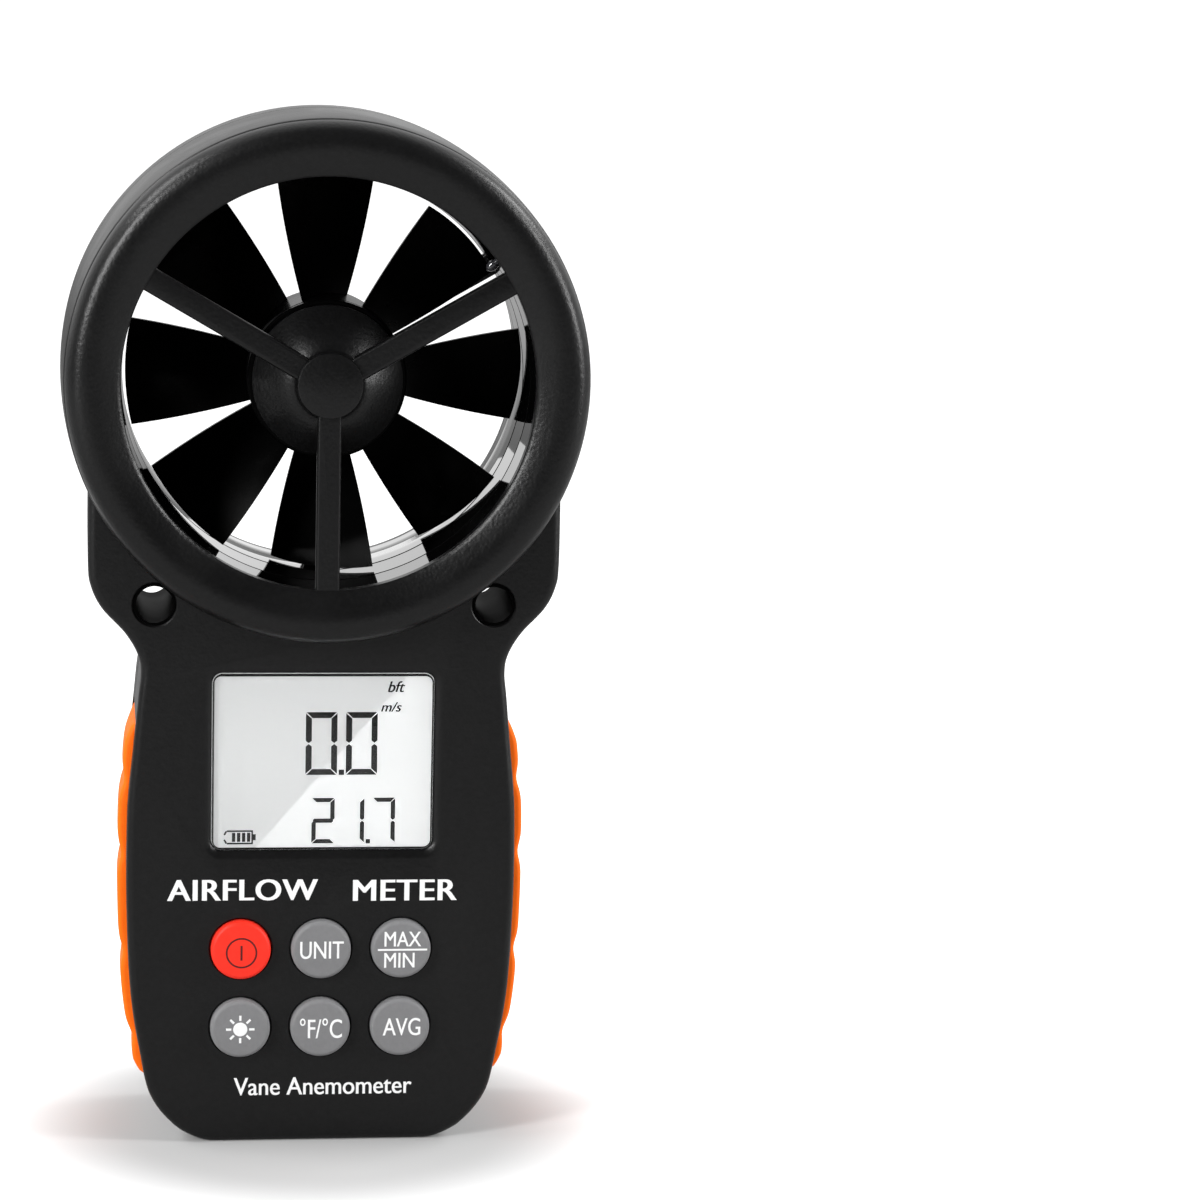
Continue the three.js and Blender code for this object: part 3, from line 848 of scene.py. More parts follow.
class Paints:
    """Every material of the meter, each built once."""

    def __init__(self) -> None:
        """Builds the shared groups and the materials."""
        effects = Effects()
        self.case = Finish("case_plastic", (0.0015, 0.0015, 0.0016), (0.006, 0.006, 0.0062), 0.38,
                           specular=0.28, wear=0.06, worn=(0.03, 0.03, 0.03),
                           grain_depth=0.05).material(effects)
        self.duct = Finish("duct_polish", (0.002, 0.002, 0.002), (0.003, 0.003, 0.003), 0.07, 0.04,
                           specular=0.9, coat=1.0, grain_depth=0.002).material(effects)
        self.rotor = Finish("rotor_plastic", (0.0006, 0.0006, 0.0006), (0.001, 0.001, 0.001), 0.3, 0.05,
                            specular=0.04, grain_depth=0.004).material(effects)
        # Painted shade: near black with almost no reflection, so the strap holes look dark inside.
        self.painted_shade_lining = Finish("strap_lining", (0.001, 0.001, 0.001), (0.002, 0.002, 0.002), 0.5,
                             specular=0.01, grain_depth=0.004).material(effects)
        self.grip = Finish("grip_rubber", (1.0, 0.14, 0.003), (1.0, 0.17, 0.006), 0.6, 0.1, specular=0.12,
                           grain_scale=1500.0, grain_depth=0.03).material(effects)
        self.key = Finish("key_grey", (0.19, 0.19, 0.195), (0.225, 0.225, 0.23), 0.55, specular=0.3,
                          grain_depth=0.012).material(effects)
        self.power = Finish("key_red", (1.0, 0.03, 0.015), (1.0, 0.04, 0.022), 0.5, specular=0.2,
                            grain_depth=0.012).material(effects)
        self.ink = Finish("white_ink", (0.9, 0.9, 0.9), (0.97, 0.97, 0.97), 0.5,
                          grain_depth=0.004).material(effects)
        self.dark_ink = Finish("dark_red_ink", (0.07, 0.001, 0.001), (0.1, 0.002, 0.002), 0.5,
                               grain_depth=0.004).material(effects)
        self.segment = Finish("display_segment", (0.001, 0.001, 0.001), (0.002, 0.002, 0.002), 0.5,
                              specular=0.0, grain_depth=0.0005).material(effects)
        self.steel = Finish("plated_steel", (0.5, 0.5, 0.51), (0.62, 0.62, 0.63), 0.3, 0.1, metallic=1.0,
                            grain_depth=0.006, line_scale=900.0).material(effects)
        self.brass = Finish("turned_brass", (0.72, 0.45, 0.16), (0.8, 0.53, 0.22), 0.3, 0.1, metallic=1.0,
                            grain_depth=0.008, line_scale=1200.0).material(effects)
        self.rubber = Finish("black_rubber", (0.012, 0.012, 0.012), (0.02, 0.02, 0.02), 0.8,
                             grain_depth=0.05).material(effects)
        self.white = Finish("diffuser_plastic", (0.78, 0.78, 0.76), (0.85, 0.85, 0.83), 0.45,
                            grain_depth=0.01).material(effects)
        self.bead = Finish("glass_bead", (0.02, 0.02, 0.022), (0.04, 0.04, 0.045), 0.08, 0.03, coat=1.0,
                           grain_depth=0.001).material(effects)
        self.display = DisplayFinish().material()
        self.pane = PaneFinish().material()
        self.board = BoardFinish("main_board_mask").material()
        self.cell = CellFinish().material()


# ---- Pieces --------------------------------------------------------------------------------------

def finished(work: Workpiece, name: str, material: bpy.types.Material, body: str,
             replaces: Sequence[str] = (), smooth: float = SMOOTH_BELOW) -> bpy.types.Object:
    """Turns a workpiece into a piece of the meter.

    Args:
        work: The shape, in millimetres.
        name: The piece's name.
        material: Its finish.
        body: The CAD body that it rides on.
        replaces: The CAD nodes that it stands for.
        smooth: Edges sharper than this many degrees stay crisp.

    Returns:
        The finished object.
    """
    bmesh.ops.remove_doubles(work.bm, verts=work.bm.verts[:], dist=MERGE)
    bmesh.ops.scale(work.bm, vec=(MM, MM, MM), verts=work.bm.verts[:])
    mesh = work.mesh(name)
    for face in mesh.polygons:
        face.use_smooth = True
    mesh.set_sharp_from_angle(angle=math.radians(smooth))
    mesh.materials.append(material)
    piece = bpy.data.objects.new(name, mesh)
    bpy.context.scene.collection.objects.link(piece)
    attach(piece, body)
    if replaces:
        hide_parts(*replaces)
    log.info("%s: %d faces on %s", name, len(mesh.polygons), body)
    return piece


@dataclass
class Case:
    """The two case halves: handle, shoulders and the ring that carries the wind duct."""

    outline: CaseOutline
    front: float = -11.4
    back: float = 16.0
    split: float = 6.0
    seam: float = 0.3
    front_round: float = 5.4
    back_round: float = 4.6
    ring_z: float = 121.67
    ring_radius: float = 40.93
    ring_bore: float = 38.73
    ring_half: float = 14.9
    handle_wall: float = 3.6
    wall: float = 2.0
    strap: tuple[float, float, float] = (26.35, 86.64, 3.0)
    screws: tuple[Point, ...] = ((-32.3, 93.0), (32.3, 93.0), (-22.0, 13.0), (22.0, 13.0))
    ring_steps: int = 160
    trim_radius: float = 40.53
    front_post: float = 2.9
    rear_post: float = 3.3
    pilot: float = 1.4
    well: float = 2.6
    strap_post: float = 4.5
    strap_fit: float = 0.25
    strap_flare: float = 0.35
    tripod_post: float = 6.8
    tripod_mouth: float = 4.7

    def ring(self, y0: float, y1: float, lip: float) -> Workpiece:
        """The ring wall between two depths.

        Args:
            y0: The end with the rounded lip.
            y1: The end at the seam.
            lip: The size of the lip's rounding.

        Returns:
            The wall, a little deeper than the finished one on its inside.
        """
        inner = self.ring_bore - 1
        sign = 1 if y1 > y0 else -1
        profile = [(inner, y0)]
        for i in range(7):
            angle = math.pi / 2 * i / 6
            depth = y0 + sign * lip * (1 - math.cos(angle))
            profile.append((self.bulge(y0) - lip + lip * math.sin(angle), depth))
        profile += [(self.bulge(y0 + (y1 - y0) * i / 8), y0 + (y1 - y0) * i / 8) for i in range(1, 9)]
        profile.append((inner, y1))
        return Workpiece.turned(profile, 0, self.ring_z, self.ring_steps)

    def bulge(self, y: float) -> float:
        """The ring's outer radius at one depth."""
        return self.ring_radius - 0.75 * ((y - self.split) / 25) ** 2

    def shell(self, face: float, seam: float, radius: float) -> Workpiece:
        """One half of the case: handle and ring wall, hollow inside.

        Args:
            face: The outer face's Y.
            seam: The Y of the edge that meets the other half.
            radius: Rounding of the outer edge.

        Returns:
            The half without its holes.
        """
        sign = 1 if face > 0 else -1
        body = Workpiece.plate(self.outline.closed(), min(face, seam), max(face, seam))
        body.round_edges(body.rim(face), radius, 7)
        body.round_edges(body.rim(seam), 0.25, 1)
        body.join(self.ring(sign * self.ring_half, seam, 0.8))
        body.cut(hole(0, self.ring_z, self.ring_bore, -30, 30, steps=self.ring_steps))
        space = self.outline.hollow(self.wall + 0.4, self.handle_wall)
        room = Workpiece.plate(space, *sorted((face - sign * self.wall, 20 * -sign)))
        room.cut(hole(0, self.ring_z, self.ring_radius - 0.05, -30, 30, steps=self.ring_steps))
        return body.cut(room)

    def grip_pockets(self, grips: "Grips") -> list[Workpiece]:
        """The recesses that hold the grips."""
        return [grips.slab(side, CLEARANCE) for side in (-1, 1)]

    def front_half(self, grips: "Grips", keys: "Keypad", display: "Display") -> Workpiece:
        """The front of the case, with its holes for window, keys, straps and grips.

        Args:
            grips: The side grips.
            keys: The keypad.
            display: The display.

        Returns:
            The front half.
        """
        seam = self.split - self.seam / 2
        body = self.shell(self.front, seam, self.front_round)
        inside = self.front + self.wall - 0.4
        strap_x, strap_z, strap_radius = self.strap
        for x, z in self.screws:
            body.join(pillar(x, z, self.front_post, inside, seam, 32))
            body.cut(hole(x, z, self.pilot, -7.0, seam + 1, steps=24))
        for x in (-strap_x, strap_x):
            body.join(pillar(x, strap_z, self.strap_post, inside, seam, 48))
            body.cut(hole(x, strap_z, strap_radius + self.strap_fit, self.front, 20, self.strap_flare))
        for spot in keys.spots:
            body.cut(hole(*spot, keys.radius + 0.2, self.front, self.front + 4, 0.15))
        body.cut(display.recess(self.front), *self.grip_pockets(grips))
        foot = self.ring_z - self.ring_radius
        return body.cut(Workpiece.block((-3, -2, foot - 2), (3, 3, foot + 4)))

    def rear_half(self, grips: "Grips", power: "Power") -> Workpiece:
        """The back of the case, with the battery bay, the tripod boss and the screw wells.

        Args:
            grips: The side grips.
            power: The battery and its door.

        Returns:
            The rear half.
        """
        seam = self.split + self.seam / 2
        body = self.shell(self.back, seam, self.back_round)
        inside = self.back - self.wall + 0.4
        strap_x, strap_z, strap_radius = self.strap
        for x, z in self.screws:
            body.join(pillar(x, z, self.rear_post, seam, inside, 32))
        for x in (-strap_x, strap_x):
            body.join(pillar(x, strap_z, self.strap_post, seam, inside, 48))
            bore = hole(x, strap_z, strap_radius + self.strap_fit, -self.back, 20, self.strap_flare)
            body.cut(bore.mirrored(y=-1))
        body.join(*power.bay(seam, inside))
        body.join(pillar(0, power.tripod_z, self.tripod_post, seam, inside, 48))
        edge = hole(0, power.tripod_z, self.tripod_mouth, -self.back, -8, 0.4).mirrored(y=-1)
        body.cut(edge)
        for x, z in self.screws:
            body.cut(hole(x, z, self.pilot, 0, 14, steps=24))
            body.cut(hole(x, z, self.well, -self.back, -12.6, 0.3, steps=32).mirrored(y=-1))
        label = Workpiece.plate(rounded_rectangle(-13, 13, 58.5, 64.5, 0.8), self.back - 0.25, self.back + 2)
        body.cut(label, *power.door_opening(), *self.grip_pockets(grips))
        return body.cut(pillar(0, self.ring_z, self.trim_radius, self.ring_half, 30, self.ring_steps))

    def sleeve(self, x: float) -> Workpiece:
        """A near-black sleeve with almost no reflection in one strap hole: painted shade inside the hole."""
        strap_z, radius = self.strap[1], self.strap[2]
        inner, outer, front, back = radius - 0.12, radius + 0.2, self.front + 0.1, self.back - 0.2
        profile = [(inner, front), (outer, front), (outer, back), (inner, back)]
        return Workpiece.turned(profile, x, strap_z, 48)

    def screw(self, x: float, z: float) -> Workpiece:
        """One case screw, head to the back, with a cross slot."""
        profile = [(0, -5.4), (0.5, -5.4), (1.0, -4.4)]
        for i in range(12):
            profile += [(1.0, -4.2 + 0.7 * i), (1.1, -3.85 + 0.7 * i)]
        profile += [(1.0, 4.4), (1.0, 12.9), (2.3, 12.9), (2.3, 13.7), (2.1, 14.1), (1.5, 14.55),
                    (0.7, 14.78), (0, 14.8)]
        body = Workpiece.turned(profile, x, z, 32)
        body.cut(Workpiece.block((x - 1.35, 13.7, z - 0.27), (x + 1.35, 16, z + 0.27)))
        return body.cut(Workpiece.block((x - 0.27, 13.7, z - 1.35), (x + 0.27, 16, z + 1.35)))

    def build(self, paints: Paints, grips: "Grips", keys: "Keypad", display: "Display",
              power: "Power") -> None:
        """Makes the case's pieces.

        Args:
            paints: The materials.
            grips: The side grips.
            keys: The keypad.
            display: The display.
            power: The battery and its door.
        """
        halves = (("front", self.front_half(grips, keys, display)), ("rear", self.rear_half(grips, power)))
        for end, half in halves:
            finished(half, f"case_{end}", paints.case, "housing", (f"{end}_shell",))
        # Each strap hole gets a sleeve of painted shade.
        for side, x in (("left", -self.strap[0]), ("right", self.strap[0])):
            finished(self.sleeve(x), f"strap_sleeve_{side}", paints.painted_shade_lining, "housing")
        names = ("screw_upper_left", "screw_upper_right", "screw_lower_left", "screw_lower_right")
        for name, (x, z) in zip(names, self.screws):
            finished(self.screw(x, z), f"{name}_head", paints.steel, "housing", (name,))


@dataclass
class Grips:
    """The soft pads on both sides of the handle, each with four finger dents."""

    outline: CaseOutline
    low: float = 10.4
    high: float = 67.4
    front: float = -8.6
    back: float = 12.6
    recess: float = 1.2
    proud: float = 1.4
    dents: tuple[float, ...] = (58.2, 46.4, 30.6, 16.9)
    crown: float = 1.0
    ridge: float = -4.0
    steps: int = 90

    def slab(self, side: int, clearance: float) -> Workpiece:
        """The pad, or with a clearance the pocket that takes it.

        Args:
            side: -1 for the left, 1 for the right.
            clearance: Room left round the pad, or 0 for the pad itself.

        Returns:
            The solid.
        """
        low, high = self.low - clearance, self.high + clearance
        outer, inner = [], []
        for i in range(self.steps + 1):
            z = low + (high - low) * i / self.steps
            proud = 4.0 if clearance else self.height(z)
            outer.append((side * (self.outline.half_width(z) + proud), z))
        for i in range(17):
            z = low + (high - low) * i / 16
            inner.append((side * (self.outline.half_width(z) - self.recess - clearance), z))
        return Workpiece.plate(outer + inner[::-1], self.front - clearance, self.back + clearance)

    def height(self, z: float) -> float:
        """How far the pad stands out from the case at one height."""
        fade = max(0.0, min(1.0, (z - self.low) / 2.6, (self.high - z) / 3.4))
        dent = sum(0.55 * math.exp(-(((z - centre) / 1.9) ** 2)) for centre in self.dents)
        return math.sqrt(fade) * (self.proud - dent)

    def pad(self, side: int) -> Workpiece:
        """One pad: rounded rims, and an outside that swells from front to back."""
        body = self.slab(side, 0.0)
        for y in (self.front, self.back):
            body.round_edges(self.outside(body.rim(y)), 0.7, 3)
        deep = [e for e in body.bm.edges if abs(e.verts[0].co.y - e.verts[1].co.y) > 10]
        bmesh.ops.subdivide_edges(body.bm, edges=deep, cuts=11, use_grid_fill=True)
        for vert in body.bm.verts:
            edge = self.outline.half_width(vert.co.z) - self.recess
            out = max(0.0, min(1.0, (abs(vert.co.x) - edge - 0.2) / self.recess))
            vert.co.x -= side * out * self.crown * ((vert.co.y - self.ridge) / (self.back - self.ridge)) ** 2
        return body

    def outside(self, edges: Iterable[bmesh.types.BMEdge]) -> list[bmesh.types.BMEdge]:
        """Those of the edges that lie outside the case's side."""
        return [e for e in edges if all(abs(v.co.x) > self.outline.half_width(v.co.z) - 0.2 for v in e.verts)]

    def build(self, paints: Paints) -> None:
        """Makes both grips."""
        for name, side in (("left", -1), ("right", 1)):
            finished(self.pad(side), f"grip_{name}", paints.grip, "housing",
                     (f"{name}_grip",), smooth=45)


class Side(Enum):
    """The two faces of the wind duct."""

    FRONT = 1
    REAR = -1


@dataclass
class Duct:
    """The guards, the duct wall and the temperature probe."""

    z: float = 121.67
    wall_radius: float = 31.74
    wall: float = 1.7
    bore: float = 38.73
    struts: tuple[float, ...] = (30.0, 150.0, 270.0)
    strut_width: float = 3.7
    boss: float = 5.05
    bell: float = 11.6
    inside: tuple[Point, ...] = (
        (32.1, -15.2), (31.62, -8.9), (31.72, -8.75), (31.72, -8.55), (31.58, -8.4), (31.34, -1.1),
        (31.5, -0.9), (31.5, -0.6), (31.32, -0.4), (31.3, 3.0), (31.36, 8.2), (31.6, 8.7),
    )
    inside_rear: tuple[Point, ...] = ((31.62, 9.1), (31.42, 9.6), (31.5, 12.0), (31.62, 15.2))

    def bezel(self) -> Workpiece:
        """The front guard's ring: a cone that opens from the duct, then a fat round rim."""
        profile = [(31.74, -17.3), (31.95, -17.55), (32.4, -17.78), (33.6, -18.32), (34.5, -18.62)]
        start, pull, end = Vector((36.4, -19.0)), Vector((39.9, -19.0)), Vector((40.2, -15.2))
        profile.append((35.3, -18.9))
        for i in range(13):
            t = i / 12
            point = start * (1 - t) ** 2 + pull * 2 * t * (1 - t) + end * t**2
            profile.append((point.x, point.y))
        profile += [(38.4, -15.2), (38.4, -12.8), (36.9, -12.8), (36.9, -15.5), (31.74, -15.5)]
        return Workpiece.turned(profile, 0, self.z, 160)

    def hub(self) -> Workpiece:
        """The front guard's boss and the bell behind it."""
        profile = [(0, -18.2), (self.boss - 0.35, -18.2), (self.boss - 0.1, -18.1), (self.boss, -17.85),
                   (self.boss + 0.1, -17.0), (self.boss + 0.5, -16.5)]
        for i in range(1, 9):
            t = i / 8
            profile.append((self.boss + 0.5 + (self.bell - self.boss - 0.5) * t, -16.5 + 5.6 * t**1.25))
        profile += [(self.bell, -10), (0, -10)]
        return Workpiece.turned(profile, 0, self.z, 96)

    def strut(self, angle: float) -> Workpiece:
        """One spoke from the boss to the ring, with bevelled front edges."""
        half = self.strut_width / 2
        bar = Workpiece.block((4, -17.3, -half), (self.wall_radius + 1, -15.5, half))
        front = [e for e in bar.bm.edges if all(v.co.y < -17 for v in e.verts) and
                 abs(e.verts[0].co.z - e.verts[1].co.z) < 0.01]
        bar.round_edges(front, 0.45, 3)
        web = Workpiece.block((4, -15.7, -half + 0.2), (self.wall_radius - CLEARANCE, -14.2, half - 0.2))
        bar.join(web)
        return bar.turn(-angle, "Y", NOWHERE).move((0, 0, self.z))

    def guard(self, side: Side) -> Workpiece:
        """The guard of one face.

        Args:
            side: Which face.

        Returns:
            The guard in its place.
        """
        body = self.bezel().join(self.hub(), *(self.strut(angle) for angle in self.struts))
        body.cut(hole(0, self.z, 3.3, -15.5, -9, steps=48))
        return body if side is Side.FRONT else body.mirrored(y=-1)

    def sleeve(self, profile: Sequence[Point]) -> Workpiece:
        """A length of duct wall, with six ribs that centre it in the ring.

        Args:
            profile: The inside from front to back, as (radius, y).

        Returns:
            The sleeve.
        """
        outer, (y0, y1) = self.wall_radius + self.wall, (profile[0][1], profile[-1][1])
        tube = Workpiece.turned([*profile, (outer, y1), (outer, y0)], 0, self.z, 256)
        for i in range(6):
            rib = Workpiece.block((outer - 0.3, y0 + 2.8, -0.7), (self.bore - CLEARANCE, y1 - 2.8, 0.7))
            tube.join(rib.turn(60 * i, "Y", NOWHERE).move((0, 0, self.z)))
        return tube

    def probe(self) -> Workpiece:
        """The thermistor: a glass bead on a short stem through the duct wall."""
        spot = [(0, 29.75), (0.3, 29.85), (0.6, 30.15), (0.78, 30.6), (0.8, 31.2), (0.62, 31.5), (0.62, 36.2),
                (0, 36.2)]
        stem = Workpiece.turned(spot, 0, 0, 32).turn(-90, "Z", NOWHERE).turn(-36, "Y", NOWHERE)
        return stem.move((0, -12.2, self.z))

    def build(self, paints: Paints) -> None:
        """Makes the duct's pieces."""
        for side in Side:
            end = side.name.lower()
            finished(self.guard(side), f"guard_{end}", paints.case, "housing",
                     (f"{end}_guard",))
        front = self.sleeve(self.inside)
        stem = pillar(0, 0, 1.0, 30, 38, 32)
        front.cut(stem.turn(-90, "Z", NOWHERE).turn(-36, "Y", NOWHERE).move((0, -12.2, self.z)))
        finished(front, "duct_wall_front", paints.duct, "housing", ("duct_front",))
        finished(self.sleeve(self.inside_rear), "duct_wall_rear", paints.duct, "housing",
                 ("duct_rear",))
        finished(self.probe(), "probe_bead", paints.bead, "housing", ("thermistor",))


@dataclass
class Rotor:
    """The impeller: a drum with eight blades wrapped on helices."""

    z: float = 121.67
    hub: float = 12.3
    front: float = -9.5
    back: float = 7.0
    tip: float = 30.9
    blades: int = 8
    thickness: float = 1.1
    axial: float = 10.0
    root_turn: float = 36.5
    tip_turn: float = 29.0

    def blade(self, angle: float) -> Workpiece:
        """One blade.

        Args:
            angle: Where its middle is, from +X towards +Z, in degrees.

        Returns:
            The blade.
        """
        piece = Workpiece.block((-0.5, -0.5, -0.5), (0.5, 0.5, 0.5))
        for axis, cuts in ((2, 13), (0, 9)):
            split = [e for e in piece.bm.edges if self.runs(e, axis)]
            bmesh.ops.subdivide_edges(piece.bm, edges=split, cuts=cuts, use_grid_fill=True)
        root = self.hub - 0.8
        for vert in piece.bm.verts:
            along, chord = vert.co.x + 0.5, vert.co.z
            radius = root + (self.tip - root) * along
            turn = math.radians(angle + chord * (self.root_turn + (self.tip_turn - self.root_turn) * along))
            thin = self.thickness * (1 - 0.9 * abs(chord) ** 3)
            depth = vert.co.y * thin - chord * self.axial
            vert.co = Vector((radius * math.cos(turn), depth, radius * math.sin(turn)))
        return piece.face_outwards().move((0, 0, self.z))

    @staticmethod
    def runs(edge: bmesh.types.BMEdge, axis: int) -> bool:
        """Whether an edge runs along one axis."""
        gap = edge.verts[0].co - edge.verts[1].co
        return abs(gap[axis]) > 1e-4 and gap.length - abs(gap[axis]) < 1e-5

    def drum(self) -> Workpiece:
        """The hub: a rim and a web round the shaft's bore, with a groove behind its front edge."""
        profile = [
            (1.3, -8.7), (4, -8.7), (4, -7.2), (10.6, -7.2), (10.6, self.front),
            (self.hub - 0.25, self.front),
            (self.hub, self.front + 0.25), (self.hub, -8.2), (self.hub - 0.35, -8.0), (self.hub - 0.35, -7.6),
            (self.hub, -7.4), (self.hub, self.back), (10.6, self.back), (10.6, -5.2), (4, -5.2), (4, 2),
            (1.3, 2),
        ]
        return Workpiece.turned(profile, 0, self.z, 96)

    def build(self, paints: Paints) -> None:
        """Makes the rotor."""
        whole = self.drum()
        core = hole(0, self.z, 11.2, -30, 30, steps=96)
        for i in range(self.blades):
            whole.join(self.blade(360 / self.blades * i).cut(core))
        finished(whole, "rotor", paints.rotor, "rotor", ("impeller",), smooth=28)


# ---- Lettering -----------------------------------------------------------------------------------
@dataclass(frozen=True)
class Inscription:
    """A few printed words fitted into a box on the front."""

    words: str
    low: Point
    high: Point
    weight: float = 0.0
    slant: float = 0.0
    spacing: float = 1.0

    def solid(self, y: float, thick: float = 0.03) -> Workpiece:
        """Draws the words as a thin layer of ink.

        Args:
            y: Depth of the surface that they are printed on.
            thick: Thickness of the ink.

        Returns:
            The letters.
        """
        curve = bpy.data.curves.new("words", "FONT")
        curve.body = self.words
        curve.shear = self.slant
        curve.space_character = self.spacing
        curve.resolution_u = 5
        curve.extrude = 0.5
        carrier = bpy.data.objects.new("words", curve)
        bpy.context.scene.collection.objects.link(carrier)
        mesh = bpy.data.meshes.new_from_object(carrier.evaluated_get(bpy.context.evaluated_depsgraph_get()))
        bpy.data.objects.remove(carrier)
        bpy.data.curves.remove(curve)
        piece = Workpiece()
        piece.bm.from_mesh(mesh)
        bpy.data.meshes.remove(mesh)
        bmesh.ops.remove_doubles(piece.bm, verts=piece.bm.verts[:], dist=1e-5)
        places = [v.co for v in piece.bm.verts]
        left, right = min(p.x for p in places), max(p.x for p in places)
        foot, head = min(p.y for p in places), max(p.y for p in places)
        wide = (self.high[0] - self.low[0]) / (right - left)
        tall = (self.high[1] - self.low[1]) / (head - foot)
        for vert in piece.bm.verts:
            vert.co = Vector((self.low[0] + (vert.co.x - left) * wide, y - thick * (vert.co.z + 0.5),
                              self.low[1] + (vert.co.y - foot) * tall))
        piece.face_outwards()
        if self.weight:
            thin = [Workpiece().add(piece) for _ in range(2)]
            for copy, side in zip(thin, (-1, 1)):
                copy.move((side * self.weight, 0, 0))
            piece.join(*thin)
        return piece


def printed(outline: Sequence[Point], y: float, thick: float = 0.03) -> Workpiece:
    """A flat printed shape lying on the surface at y."""
    return Workpiece.plate(outline, y - thick, y)


def disc(x: float, z: float, radius: float, steps: int = 40) -> list[Point]:
    """Points round a circle."""
    return [(x + radius * math.cos(math.tau * i / steps), z + radius * math.sin(math.tau * i / steps))
            for i in range(steps)]


def bar(x: float, z: float, length: float, width: float, angle: float) -> list[Point]:
    """A straight bar about a centre, at an angle in degrees from X."""
    along = Vector((math.cos(math.radians(angle)), math.sin(math.radians(angle)))) * length / 2
    across = Vector((-along.y, along.x)).normalized() * width / 2
    centre = Vector((x, z))
    corners = (centre - along - across, centre + along - across, centre + along + across,
               centre - along + across)
    return [(corner.x, corner.y) for corner in corners]


# ---- Display and keypad --------------------------------------------------------------------------
@dataclass(frozen=True)
class Digit:
    """One seven-segment figure: which bars are lit and the box that it fills."""

    lit: str
    low: Point
    high: Point
    stroke: float
    lean: float = 0.0

    def bars(self) -> list[list[Point]]:
        """The outlines of the lit bars, with mitred ends and thin gaps.

        Returns:
            One outline for each lit bar.
        """
        wide, tall = self.high[0] - self.low[0], self.high[1] - self.low[1]
        s, gap, middle = self.stroke, self.stroke * 0.09, tall / 2
        half = s / 2

        def level(z0: float, z1: float, inset0: float, inset1: float) -> list[Point]:
            """A level bar between two heights, with its own inset at each."""
            return [(inset0 + gap, z0), (wide - inset0 - gap, z0), (wide - inset1 - gap, z1),
                    (inset1 + gap, z1)]

        def upright(outer: float, inner: float, end: float, turned: int) -> list[Point]:
            """A side bar: mitred at its outer end, pointed where it meets its neighbour."""
            near = middle + turned * gap
            return [(outer, near + turned * half * 0.8), ((outer + inner) / 2, near),
                    (inner, near + turned * half * 0.8), (inner, end - turned * (s + gap)),
                    (outer, end - turned * gap * 2)]

        shapes = {
            "a": level(tall, tall - s, 0, s), "d": level(0, s, 0, s),
            "g": [(gap + half * 0.3, middle), (half + gap, middle - half), (wide - half - gap, middle - half),
                  (wide - gap - half * 0.3, middle), (wide - half - gap, middle + half),
                  (half + gap, middle + half)],
            "f": upright(0, s, tall, 1), "b": upright(wide, wide - s, tall, 1),
            "e": upright(0, s, 0, -1), "c": upright(wide, wide - s, 0, -1),
        }
        left, foot = self.low
        return [[(left + x + self.lean * (z - middle) / tall, foot + z) for x, z in shapes[name]]
                for name in self.lit]


